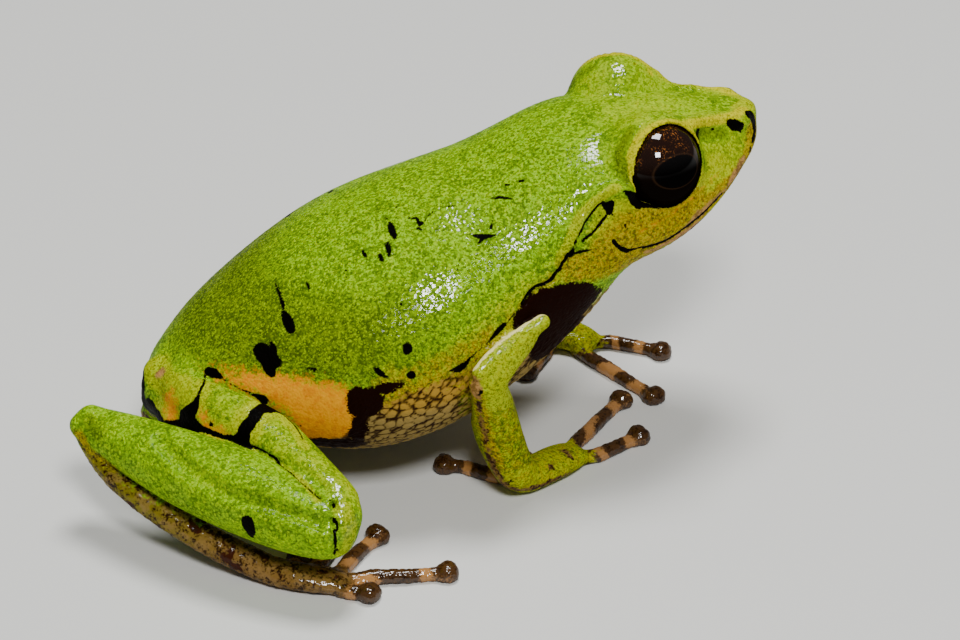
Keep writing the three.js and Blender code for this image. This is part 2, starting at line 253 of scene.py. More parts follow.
@dataclass
class Flesh:
    """Signed distances, in millimetres and negative inside, on a block of the shared lattice."""

    low: np.ndarray
    values: np.ndarray

    @staticmethod
    def block(low_mm: np.ndarray, high_mm: np.ndarray, margin: float) -> tuple[np.ndarray, np.ndarray]:
        """The lattice block round a box: its lowest index and its shape."""
        low = np.floor((low_mm - margin) / VOXEL).astype(int)
        high = np.ceil((high_mm + margin) / VOXEL).astype(int)
        return low, high - low + 1

    @classmethod
    def of_mesh(cls, points: np.ndarray, triangles: np.ndarray, quads: np.ndarray) -> "Flesh":
        """Measures the field of closed meshes."""
        grid = openvdb.FloatGrid.createLevelSetFromPolygons(
            points.astype(np.float32),
            triangles=triangles.astype(np.uint32),
            quads=quads.astype(np.uint32),
            transform=openvdb.createLinearTransform(VOXEL),
            halfWidth=BAND / VOXEL,
        )
        low, shape = cls.block(points.min(0), points.max(0), BAND)
        values = np.empty(tuple(shape), np.float32)
        grid.copyToArray(values, ijk=tuple(int(k) for k in low))
        return cls(low, values)

    @classmethod
    def of_nodes(cls, names: Iterable[str]) -> "Flesh":
        """Measures the field of some of the part's solids, in the frog's own frame."""
        points, triangles, count = [], [], 0
        for name in names:
            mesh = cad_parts[name].data
            mesh.calc_loop_triangles()
            corners = np.empty(len(mesh.loop_triangles) * 3, np.int32)
            mesh.loop_triangles.foreach_get("vertices", corners)
            points.append(node_points(name))
            triangles.append(corners.reshape(-1, 3) + count)
            count += len(mesh.vertices)
        return cls.of_mesh(np.concatenate(points), np.concatenate(triangles), np.empty((0, 4)))

    def quads(self, level: float = 0.0) -> tuple[np.ndarray, np.ndarray]:
        """The surface at a distance, as points in millimetres and quads."""
        grid = openvdb.FloatGrid(BAND)
        grid.copyFromArray(self.values, ijk=tuple(int(k) for k in self.low))
        grid.transform = openvdb.createLinearTransform(VOXEL)
        return grid.convertToQuads(isovalue=level)

    def sealed(self, gap: float) -> "Flesh":
        """Fills gaps up to a width, by growing half of it, measuring anew and shrinking back."""
        points, quads = self.quads(gap / 2)
        grown = Flesh.of_mesh(points, np.empty((0, 3)), quads)
        grown.values += gap / 2
        return grown

    def softened(self, reach: float, regain: float) -> "Flesh":
        """Smooths facets away with a Gaussian.

        Args:
            reach: the Gaussian's deviation in millimetres.
            regain: how far the surface is let out again, for what the smoothing takes.

        Returns:
            The smoothed field.
        """
        width = int(math.ceil(3 * reach / VOXEL))
        weights = np.exp(-0.5 * (np.arange(-width, width + 1) * VOXEL / reach) ** 2)
        weights /= weights.sum()
        values = self.values
        for axis in range(3):
            padding = [(0, 0)] * 3
            padding[axis] = (width, width)
            padded = np.pad(values, padding, mode="edge")
            made = np.zeros_like(values)
            for k, weight in enumerate(weights):
                window = [slice(None)] * 3
                window[axis] = slice(k, k + values.shape[axis])
                made += np.float32(weight) * padded[tuple(window)]
            values = made
        return Flesh(self.low, values - np.float32(regain))

    def window(self, low_mm: Sequence[float], high_mm: Sequence[float]) -> tuple[Slices, np.ndarray]:
        """The part of the block inside a box: its slices and the places of its voxels."""
        low = np.maximum(np.floor(np.asarray(low_mm) / VOXEL).astype(int) - self.low, 0)
        high = np.minimum(np.ceil(np.asarray(high_mm) / VOXEL).astype(int) - self.low + 1, self.values.shape)
        axes = [(np.arange(a, b) + start) * np.float32(VOXEL) for a, b, start in zip(low, high, self.low)]
        places = np.stack(np.meshgrid(*axes, indexing="ij"), -1).astype(np.float32)
        return tuple(slice(a, b) for a, b in zip(low, high)), places

    def cover(self, other: "Flesh") -> None:
        """Makes the block large enough to hold another."""
        before = np.maximum(self.low - other.low, 0)
        after = np.maximum(other.low + other.values.shape - self.low - self.values.shape, 0)
        if before.any() or after.any():
            self.values = np.pad(self.values, list(zip(before, after)), constant_values=BAND)
            self.low = self.low - before

    def join(self, other: "Flesh", blend: float, roots: Sequence[tuple[Point, float, float]] = ()) -> None:
        """Adds another field with a fillet.

        Args:
            other: the field that is added.
            blend: the fillet away from its roots.
            roots: the places where it grows out of this one, as middle, reach and added fillet.
        """
        self.cover(other)
        size = other.values.shape
        outer = tuple(slice(start, start + count) for start, count in zip(other.low - self.low, size))
        amount: float | np.ndarray = blend
        if roots:
            axes = [(np.arange(count) + first) * np.float32(VOXEL) for count, first in zip(size, other.low)]
            places = np.stack(np.meshgrid(*axes, indexing="ij"), -1)
            amount = np.full(size, blend, np.float32)
            for middle, reach, added in roots:
                away = ((places - np.asarray(middle, np.float32)) ** 2).sum(-1)
                amount += np.float32(added) * np.exp(-away / np.float32(2 * reach**2))
        self.values[outer] = smooth_min(self.values[outer], other.values, amount)

    def ridge(self, curve: Curve, radii: Sequence[float], blend: float) -> None:
        """Adds a rope of flesh along a curve.

        Args:
            curve: the corners of the rope's middle line.
            radii: its radius at each corner.
            blend: the fillet beside it.
        """
        at, rope = self.rope(curve, radii, blend)
        self.values[at] = smooth_min(self.values[at], rope, blend)

    def groove(self, curve: Curve, radii: Sequence[float], blend: float) -> None:
        """Presses a rope's shape into the flesh along a curve, with the edges rounded by the blend."""
        at, rope = self.rope(curve, radii, blend)
        self.values[at] = smooth_max(self.values[at], -rope, blend)

    def crease(self, curve: Curve, radius: float, blend: float) -> None:
        """Presses a groove of one radius along a smooth curve through the corners."""
        line = smooth_curve(curve)
        self.groove(line, [radius] * len(line), blend)

    def rope(self, curve: Curve, radii: Sequence[float], blend: float) -> tuple[Slices, np.ndarray]:
        """The slices of the block round a rope, and the distance to the rope there."""
        corners = np.asarray(curve)
        spare = max(radii) + blend + 2 * VOXEL
        at, places = self.window(corners.min(0) - spare, corners.max(0) + spare)
        return at, tube_distance(places, curve, radii)

    def sample(self, points: np.ndarray) -> np.ndarray:
        """The field at any points, read between the voxels."""
        place = points / VOXEL - self.low
        limit = np.array(self.values.shape) - 2
        cell = np.clip(np.floor(place).astype(int), 0, limit)
        share = np.clip(place - cell, 0, 1).astype(np.float32)
        total = np.zeros(len(points), np.float32)
        for corner in np.ndindex(2, 2, 2):
            weight = np.prod(np.where(corner, share, 1 - share), axis=1)
            total += weight * self.values[tuple((cell + corner).T)]
        return total

    def slope(self, points: np.ndarray) -> np.ndarray:
        """The field's gradient at any points."""
        steps = np.eye(3) * VOXEL
        return np.stack([(self.sample(points + s) - self.sample(points - s)) / (2 * VOXEL) for s in steps], 1)


# ---- Natural noise on points, for relief and ragged edges ----


def cell_hash(cells: np.ndarray, salt: int) -> np.ndarray:
    """A repeatable number from 0 to 1 for each whole-number cell."""
    mixed = (cells.astype(np.int64) * np.array([73856093, 19349663, 83492791])).sum(-1) + salt * 2654435761
    mixed = (mixed ^ (mixed >> 13)) * 1274126177
    return ((mixed ^ (mixed >> 16)) & 0xFFFFFF) / float(0xFFFFFF)


def cobbles(points: np.ndarray, size: float, salt: int) -> np.ndarray:
    """Distance to the seams between irregular cells, zero on a seam.

    Args:
        points: places in millimetres.
        size: a cell's usual width in millimetres.
        salt: picks the pattern.

    Returns:
        The second nearest cell middle's distance less the nearest's, as a share of the size.
    """
    place = points / size
    home = np.floor(place).astype(int)
    nearest = np.full(len(points), 9.0)
    second = np.full(len(points), 9.0)
    for step in np.ndindex(3, 3, 3):
        cell = home + np.array(step) - 1
        middle = cell + np.stack([cell_hash(cell, salt + k) for k in range(3)], -1)
        away = np.sqrt(((place - middle) ** 2).sum(-1))
        second = np.minimum(second, np.maximum(nearest, away))
        nearest = np.minimum(nearest, away)
    return second - nearest


def drift(points: np.ndarray, size: float, salt: int) -> np.ndarray:
    """Smooth noise from -1 to 1 with features of a given size in millimetres."""
    place = points / size
    home = np.floor(place).astype(int)
    share = place - home
    share = share * share * (3 - 2 * share)
    total = np.zeros(len(points))
    for corner in np.ndindex(2, 2, 2):
        weight = np.prod(np.where(corner, share, 1 - share), axis=1)
        total += weight * cell_hash(home + np.array(corner), salt)
    return 2 * total - 1


def ragged(points: np.ndarray, salt: int) -> np.ndarray:
    """Noise of three sizes that tears the edge of a marking, in about -1 to 1."""
    octaves = ((0.5, 0.9), (0.35, 0.4), (0.25, 0.2))
    return sum(share * drift(points, size, salt + k) for k, (share, size) in enumerate(octaves))


# ---- The flesh: limbs and head details ----

DIGITS = {"finger": 4, "toe": 5}
# A digit's disc: how far its middle lies behind the tip and above the floor, its radius, and half its
# width beyond that.
DISC_BACK = 0.64
DISC_HEIGHT = 0.34
DISC_RADIUS = 0.56
DISC_SPREAD = 0.12


def discs(kind: str, side: Side) -> list[tuple[np.ndarray, np.ndarray]]:
    """The discs on the ends of one side's fingers or toes.

    Args:
        kind: "finger" or "toe".
        side: the side of the body.

    Returns:
        Each disc's middle, and the direction its digit points in.
    """
    root = node_points(("hand_" if kind == "finger" else "foot_") + side.mark).mean(0)
    made = []
    for k in range(DIGITS[kind]):
        points = node_points(f"{kind}_{k + 1}_{side.mark}")
        tip = points[np.argmax(np.linalg.norm((points - root)[:, :2], axis=1))]
        run = (tip - root) * (1, 1, 0)
        run /= np.linalg.norm(run)
        middle = tip - DISC_BACK * run
        made.append((np.array([middle[0], middle[1], DISC_HEIGHT]), run))
    return made


@dataclass
class Sculptor:
    """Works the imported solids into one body."""

    flesh: Flesh = field(init=False)
    parts: dict[str, Flesh] = field(default_factory=dict)

    def build(self) -> Flesh:
        """Joins the trunk, head, limbs and digits and works in the features of the head.

        Returns:
            The whole body's field.
        """
        low, high = (np.array(corner) / MM - SHIFT for corner in (CAD_LOW, CAD_HIGH))
        low, shape = Flesh.block(low, high, 1.0)
        self.flesh = Flesh(low, np.full(tuple(shape), BAND, np.float32))
        core = Flesh.of_nodes(["trunk", "head"]).sealed(gap=0.3).softened(reach=0.6, regain=0.06)
        self.flesh.join(core, blend=0.01)
        self.parts["core"] = core
        for side in Side:
            self.orbit(side)
        for side in Side:
            self.arm(side)
            self.leg(side)
        self.vent()
        for side in Side:
            self.features(side)
        self.soles()
        return self.flesh

    def limb(self, key: str, nodes: Sequence[str], reach: float, regain: float) -> Flesh:
        """One run of flesh from some nodes, kept by name for the markings."""
        made = Flesh.of_nodes(nodes).sealed(gap=0.3).softened(reach, regain)
        self.keep(key, made)
        return made

    def keep(self, key: str, part: Flesh) -> None:
        """Stores a copy of one part for the markings."""
        self.parts[key] = Flesh(part.low.copy(), part.values.copy())

    def digits(self, kind: str, side: Side) -> Flesh:
        """All fingers of a hand or toes of a foot, with their round discs."""
        names = [f"{kind}_{k + 1}_{side.mark}" for k in range(DIGITS[kind])]
        made = Flesh.of_nodes(names).softened(reach=0.15, regain=0.02)
        for middle, run in discs(kind, side):
            across = np.array([-run[1], run[0], 0]) * DISC_SPREAD
            made.ridge([tuple(middle - across), tuple(middle + across)], [DISC_RADIUS] * 2, blend=0.12)
        self.parts[f"{kind}s_{side.mark}"] = made
        return made

    def arm(self, side: Side) -> None:
        """Adds an arm, fused at the shoulder and lying against the flank elsewhere."""
        mark = side.mark
        nodes = [f"{name}_{mark}" for name in ("upper_arm", "forearm", "hand")]
        made = self.limb(f"arm_{mark}", nodes, reach=0.32, regain=0.05)
        if side is Side.RIGHT:
            made.ridge(side.line(ARM_EDGE), [0.4] * len(ARM_EDGE), blend=0.3)
            self.keep(f"arm_{mark}", made)
        made.join(self.digits("finger", side), blend=0.6)
        self.flesh.join(made, blend=0.1, roots=[(SHOULDER[side], 0.8, 0.5)])

    def leg(self, side: Side) -> None:
        """Adds a folded leg: thigh to trunk, shank to thigh at the knee, foot to shank at the heel."""
        mark = side.mark
        thigh = self.limb(f"thigh_{mark}", [f"thigh_{mark}"], reach=0.4, regain=0.06)
        shank = self.limb(f"shank_{mark}", [f"shank_{mark}"], reach=0.4, regain=0.05)
        foot = self.limb(f"foot_{mark}", [f"tarsus_{mark}", f"foot_{mark}"], reach=0.25, regain=0.04)
        foot.join(self.digits("toe", side), blend=0.6)
        if side is Side.RIGHT:
            shank.ridge(side.line(HEEL_RIDGE), [0.57, 0.5], blend=0.5)
        self.flesh.join(thigh, blend=0.12, roots=[(HIP[side], 1.4, 1.0)])
        self.flesh.join(shank, blend=0.5, roots=[(KNEE[side], 0.9, 1.2)])
        self.flesh.join(foot, blend=0.25, roots=[(HEEL[side], 0.9, 0.9)])
        if side is Side.RIGHT:
            self.flesh.crease(side.line(KNEE_CREASE), radius=0.18, blend=0.15)
            self.flesh.crease(side.line(VALLEY), radius=0.1, blend=0.15)
            self.flesh.crease(side.line(SHANK_FURROW), radius=0.3, blend=0.5)

    def orbit(self, side: Side) -> None:
        """Fills the socket's surroundings to a smooth bump, then opens the lids over the eyeball."""
        middle = np.array(EYE_MIDDLE[side], np.float32)
        round_about = EYE_RADIUS + 2.0
        at, places = self.flesh.window(middle - round_about, middle + round_about)
        rel = places - middle
        away = np.sqrt((rel**2).sum(-1))
        out, ahead, above = gaze_frame(side)
        along, forth, lift = (rel @ v.astype(np.float32) for v in (out, ahead, above))
        # The lids are thick above and behind and thin out below and in front.
        thick = np.clip(0.5 + (lift - forth) / EYE_RADIUS * 0.6, 0, 1) * 0.8 + 0.2
        blend = 0.9 if side is Side.RIGHT else 0.5
        bulge = away - (EYE_RADIUS + LID[side] * thick).astype(np.float32)
        values = smooth_min(self.flesh.values[at], bulge, blend)
        # The opening is nearly round, flares outward, and is drawn out to a corner behind and below.
        across = np.sqrt(forth**2 + (lift - LID_RAISED) ** 2)
        toward = (forth * LID_CORNER[0] + lift * LID_CORNER[1]) / np.maximum(across, 1e-3)
        across = across - 0.32 * np.clip((toward - 0.8) / 0.2, 0, 1) ** 2
        flare = 0.5 * np.clip(along - 0.9, 0, None) * np.clip(0.6 + forth / EYE_RADIUS, 0, 1)
        opening = np.maximum(across - flare - np.float32(LID_OPEN), 0.2 - along)
        values = smooth_max(values, -opening, 0.12)
        self.flesh.values[at] = smooth_max(values, np.float32(EYE_RADIUS + 0.03) - away, 0.05)

    def features(self, side: Side) -> None:
        """Ridges, folds, nostril, mouth line, eardrum and creases of one side of the head."""
        flesh = self.flesh
        for curve, thick, thin, blend in RIDGES:
            ridge = smooth_curve(side.head(curve))
            flesh.ridge(ridge, np.linspace(thick, thin, len(ridge)), blend)
        # On the left the neck swells over the fold, which lies deeper.
        sunk = 0.0 if side is Side.RIGHT else 0.25
        fold = smooth_curve(side.head([(x, y - sunk, z - sunk) for x, y, z in EAR_FOLD]))
        flesh.ridge(fold, np.linspace(0.34, 0.2, len(fold)), blend=0.4)
        flesh.groove(side.head(NOSTRIL), [0.17, 0.17], blend=0.1)
        for curve, radius in ((MOUTH_LINE, 0.1), (DRUM_BEHIND, 0.07), (DRUM_AHEAD, 0.07), (LID_CREASE, 0.09)):
            flesh.crease(side.head(curve), radius, blend=0.14)
        flesh.crease(side.line(SHOULDER_CREASE), radius=0.12, blend=0.25)
        if side is Side.LEFT:
            flesh.crease(SADDLE, radius=0.6, blend=0.35)

    def vent(self) -> None:
        """Adds the buttocks and the small flap over the vent."""
        for curve, radii, blend in RUMP:
            self.flesh.ridge(curve, radii, blend)

    def soles(self) -> None:
        """Cuts what touches the floor level with it."""
        heights = (np.arange(self.flesh.values.shape[2]) + self.flesh.low[2]) * np.float32(VOXEL)
        self.flesh.values = np.maximum(self.flesh.values, -heights[None, None, :])


# How the lids stand: their thickness, the radius and lift of their opening, and the way to its rear corner.
LID: Mapping[Side, float] = {Side.RIGHT: 0.3, Side.LEFT: 0.28}
LID_OPEN = 2.16
LID_RAISED = 0.1
LID_CORNER = (-0.93, -0.37)
# Where the limbs join the body and each other, in the frog's frame.
SHOULDER: Mapping[Side, Point] = {Side.RIGHT: (1.6, -6.0, 10.9), Side.LEFT: (1.9, 6.2, 9.2)}
KNEE: Mapping[Side, Point] = {Side.RIGHT: (-10.8, -14.1, 4.9), Side.LEFT: (-7.4, 12.4, 4.9)}
HEEL: Mapping[Side, Point] = {Side.RIGHT: (-22.2, -3.2, 5.2), Side.LEFT: (-17.6, 2.8, 2.4)}
HIP: Mapping[Side, Point] = {Side.RIGHT: (-17.0, -2.2, 6.6), Side.LEFT: (-15.6, 2.6, 6.2)}
# Lines of the limbs, as x, distance outward, and z.
HEEL_RIDGE: Curve = ((-22.65, 3.2, 5.9), (-22.1, 3.0, 6.3))
THIGH_FROM: Point = (-17.0, 2.2, 6.6)
ARM_EDGE: Curve = (
    (1.39, 7.52, 11.05), (0.36, 7.72, 10.6), (-0.83, 8.12, 10.1), (-1.75, 8.5, 9.75), (-2.4, 8.85, 9.3),
)
# The cream band along the upper arm's hind edge, pale skin under a painted highlight: its radii and its line.
ARM_RIM_RADII = (0.26, 0.36, 0.32, 0.24, 0.2)
ARM_RIM: Curve = (
    (1.5, 7.2, 11.4), (0.3, 7.45, 10.95), (-0.95, 7.85, 10.45), (-1.9, 8.3, 10.05), (-2.6, 8.7, 9.6),
)
VALLEY: Curve = (
    (-14.55, 8.57, 6.62), (-13.72, 9.56, 6.44), (-13.07, 10.86, 6.29), (-12.42, 12.28, 6.07),
    (-11.75, 13.54, 5.55),
)
KNEE_CREASE: Curve = (
    (-11.42, 13.58, 5.72), (-11.52, 14.1, 5.3), (-11.62, 14.85, 4.86), (-11.64, 15.01, 4.09),
    (-11.6, 14.64, 3.31),
)
SHANK_FURROW: Curve = (
    (-19.12, 7.16, 6.89), (-18.06, 9.48, 6.36), (-16.76, 11.17, 5.97), (-15.71, 12.08, 5.84),
    (-14.37, 12.93, 5.68), (-12.3, 14.3, 5.3),
)
SHANK_RIM: Curve = (
    (-17.54, 4.26, 6.05), (-16.78, 5.74, 6.3), (-15.06, 7.9, 6.69), (-13.79, 9.38, 6.55),
    (-12.68, 11.49, 6.3), (-12.15, 13.2, 5.95),
)
SHOULDER_CREASE: Curve = (
    (3.6, 6.0, 14.8), (3.1, 6.15, 14.0), (2.6, 6.34, 13.4), (2.0, 6.48, 12.83), (1.1, 6.62, 12.6),
    (0.45, 6.88, 11.94),
)
# The buttocks and the flap over the vent, in the frog's frame: corners, radii and fillet.
RUMP: Sequence[tuple[Curve, Sequence[float], float]] = (
    (
        ((-17.95, -0.3, 6.6), (-18.0, -0.6, 6.0), (-17.98, -0.2, 5.0), (-17.7, 0.2, 4.2)),
        (0.75, 0.88, 0.88, 0.8),
        0.6,
    ),
    (((-17.8, -1.2, 5.3), (-17.6, -3.2, 5.3), (-16.9, -4.6, 5.5)), (0.8, 0.75, 0.6), 0.5),
    (((-17.6, -1.1, 7.15), (-17.95, -1.2, 6.95)), (0.3, 0.16), 0.3),
)
# The hollow between the eyes, on its left edge, in the frog's frame.
SADDLE: Curve = (
    (10.82, 2.54, 19.5), (11.3, 2.48, 19.13), (11.8, 2.2, 18.96), (12.33, 1.82, 18.91),
    (13.17, 1.78, 18.84), (14.0, 1.66, 18.75),
)
# Lines of the head, as x, distance to the right of the body's middle on its right side, and z.
CANTHUS: Curve = ((10.7, 2.3, 18.75), (12.2, 1.42, 18.35), (13.5, 1.02, 17.98), (14.3, 0.74, 17.85))
CANTHUS_CREST: Curve = (
    (10.55, 3.0, 19.2), (11.43, 2.33, 18.75), (12.21, 1.85, 18.45), (13.33, 1.35, 18.28),
    (13.98, 1.0, 18.24), (14.62, 0.32, 18.05),
)
SNOUT_RIM: Curve = ((14.2, 0.8, 17.7), (14.82, 0.15, 17.5), (15.0, -0.6, 17.45))
LIP_RIM: Curve = (
    (15.0, -0.6, 16.7), (14.8, 0.5, 16.6), (14.4, 1.25, 16.25), (13.6, 2.1, 15.75), (12.5, 3.0, 15.15),
)
NOSTRIL: Curve = ((13.5, 1.56, 18.0), (13.95, 1.48, 17.9))
# Ridges of the head: corners, radius at the start and at the end, and fillet.
RIDGES: Sequence[tuple[Curve, float, float, float]] = (
    (CANTHUS, 0.34, 0.22, 0.7),
    (SNOUT_RIM, 0.3, 0.42, 0.5),
    (LIP_RIM, 0.34, 0.24, 0.5),
    (((13.85, 1.07, 17.72), (14.3, 0.76, 17.75)), 0.3, 0.24, 0.4),
)
EAR_FOLD: Curve = (
    (6.6, 5.22, 16.9), (5.6, 5.18, 17.1), (4.5, 5.4, 16.5), (3.6, 5.9, 15.2), (3.3, 6.1, 14.4),
)
FOLD_CREST: Curve = (
    (5.92, 5.37, 17.33), (5.01, 5.55, 16.84), (4.48, 5.65, 16.58), (3.85, 5.77, 16.04),
    (3.23, 6.13, 14.98), (2.66, 6.29, 13.97),
)
LID_CREASE: Curve = (
    (6.43, 5.0, 17.35), (6.6, 4.45, 18.1), (7.08, 4.1, 18.92), (7.65, 3.54, 19.51), (8.51, 2.92, 19.8),
    (9.43, 2.53, 19.7),
)
DRUM_BEHIND: Curve = ((5.0, 5.4, 16.45), (4.17, 5.85, 15.74), (3.6, 6.03, 14.85), (3.3, 6.1, 14.3))
DRUM_AHEAD: Curve = ((5.36, 5.57, 15.83), (5.01, 5.83, 15.59), (4.61, 5.87, 15.14), (3.96, 6.05, 14.75))
MOUTH_LINE: Curve = (
    (5.66, 6.05, 14.49), (5.9, 5.97, 14.1), (6.56, 5.8, 13.62), (7.26, 5.63, 13.52), (8.0, 5.44, 13.46),
    (8.78, 5.2, 13.48), (9.68, 4.92, 13.72), (10.58, 4.52, 14.0), (11.34, 4.05, 14.23), (12.22, 3.5, 14.6),
    (13.11, 2.8, 15.0), (14.02, 2.04, 15.5), (14.7, 1.15, 15.9), (15.05, 0.2, 16.1), (15.1, -0.65, 16.1),
)


# ---- Colours ----


def linear(code: str) -> tuple[float, float, float, float]:
    """Turns an sRGB hex code into linear light."""
    parts = [int(code[k : k + 2], 16) / 255 for k in (1, 3, 5)]
    red, green, blue = (c / 12.92 if c <= 0.04045 else ((c + 0.055) / 1.055) ** 2.4 for c in parts)
    return (red, green, blue, 1.0)


@dataclass(frozen=True)
class Palette:
    """The colours of the frog and its floor, as sRGB."""

    leaf: str = "#90c600"
    leaf_light: str = "#b6de00"
    leaf_deep: str = "#567e00"
    pit: str = "#3a5600"
    olive: str = "#647400"
    olive_deep: str = "#3c4600"
    yellow: str = "#b6bc00"
    gold: str = "#b49800"
    gold_deep: str = "#6a5000"
    orange: str = "#fcaa00"
    orange_deep: str = "#e88c00"
    cream: str = "#998146"
    cream_golden: str = "#b88c26"
    pinkish: str = "#90703f"
    liver: str = "#3c1a0a"
    seam: str = "#2a1404"
    maroon: str = "#170400"
    black: str = "#030201"
    olive_brown: str = "#7a7010"
    brown: str = "#80602e"
    dark_brown: str = "#2a1606"
    dusk: str = "#4a3016"
    pale: str = "#ac7a44"
    rim: str = "#ccc400"
    flesh: str = "#b98a50"
    # Cream of the breast, and of the upper arm's hind edge, where it is also a painted highlight.
    white: str = "#fff2a0"
    iris_low: str = "#080301"
    iris_high: str = "#1c0c06"
    copper: str = "#b06a2c"
    pupil: str = "#020101"
    pupil_ring: str = "#4a3420"
    floor: str = "#dededa"
    floor_light: str = "#e4e4e0"


PALETTE = Palette()


# ---- Material graphs ----


@dataclass
class Graph:
    """A material's node tree."""

    name: str
    material: bpy.types.Material = field(init=False)

    def __post_init__(self) -> None:
        """Makes the material, with no nodes."""
        self.material = bpy.data.materials.new(self.name)
        self.material.use_nodes = True
        self.material.node_tree.nodes.clear()

    def add(
        self, kind: str, inputs: Mapping[str | int, object] | None = None, **settings: object
    ) -> bpy.types.Node:
        """Adds one node.

        Args:
            kind: the node's type.
            inputs: values or output sockets by the input's name or number.
            settings: the node's own properties.

        Returns:
            The node.
        """
        made = self.material.node_tree.nodes.new(kind)
        for key, value in settings.items():
            setattr(made, key, value)
        for key, value in (inputs or {}).items():
            if isinstance(value, bpy.types.NodeSocket):
                self.material.node_tree.links.new(value, made.inputs[key])
            else:
                made.inputs[key].default_value = value
        return made

    def math(self, operation: str, *values: Value) -> Socket:
        """A sum of numbers or sockets."""
        return self.add("ShaderNodeMath", dict(enumerate(values)), operation=operation).outputs[0]

    def plus(self, a: Value, b: Value) -> Socket:
        """The two added."""
        return self.math("ADD", a, b)

    def minus(self, a: Value, b: Value) -> Socket:
        """The first less the second."""
        return self.math("SUBTRACT", a, b)

    def times(self, a: Value, b: Value) -> Socket:
        """The two multiplied."""
        return self.math("MULTIPLY", a, b)

    def most(self, a: Value, b: Value) -> Socket:
        """The larger of the two."""
        return self.math("MAXIMUM", a, b)

    def mixed(self, share: Value, under: object, over: object) -> Socket:
        """One colour laid over another by a share."""
        return self.add("ShaderNodeMix", {0: share, 6: under, 7: over}, data_type="RGBA").outputs[2]

    def ramp(self, value: Value, low: float, high: float) -> Socket:
        """A value carried smoothly from 0 at low to 1 at high."""
        inputs = {0: value, 1: low, 2: high, 3: 0.0, 4: 1.0}
        return self.add("ShaderNodeMapRange", inputs, interpolation_type="SMOOTHSTEP").outputs[0]

    def noise(self, at: Socket, size: float, detail: float = 2.0) -> Socket:
        """Noise from 0 to 1 with features of a size in millimetres."""
        inputs = {"Vector": at, "Scale": 1 / size, "Detail": detail}
        return self.add("ShaderNodeTexNoise", inputs).outputs[0]

    def reading(self, attribute: str) -> Socket:
        """A number stored on the mesh."""
        return self.add("ShaderNodeAttribute", attribute_name=attribute).outputs["Fac"]

    def millimetres(self) -> Socket:
        """Places on the object in millimetres."""
        place = self.add("ShaderNodeTexCoord").outputs["Object"]
        return self.add("ShaderNodeVectorMath", {0: place, "Scale": 1 / MM}, operation="SCALE").outputs[0]

    def cells(self, at: Socket, size: float) -> bpy.types.Node:
        """Cells of a size in millimetres, with each one's own colour and the distance to its middle."""
        return self.add("ShaderNodeTexVoronoi", {"Vector": at, "Scale": 1 / size})

    def split(self, colour: Socket) -> bpy.types.NodeOutputs:
        """The red, green and blue of a colour."""
        return self.add("ShaderNodeSeparateColor", {0: colour}).outputs

    def bump(self, height: Socket, strength: float, depth: float) -> Socket:
        """A normal for bumps of a depth in millimetres."""
        inputs = {"Strength": strength, "Distance": depth * MM, "Height": height}
        return self.add("ShaderNodeBump", inputs).outputs[0]

    def finish(self, inputs: Mapping[str, object]) -> bpy.types.Node:
        """Adds the shader and the output, and returns the shader."""
        shader = self.add("ShaderNodeBsdfPrincipled", inputs)
        self.add("ShaderNodeOutputMaterial", {"Surface": shader.outputs[0]})
        return shader


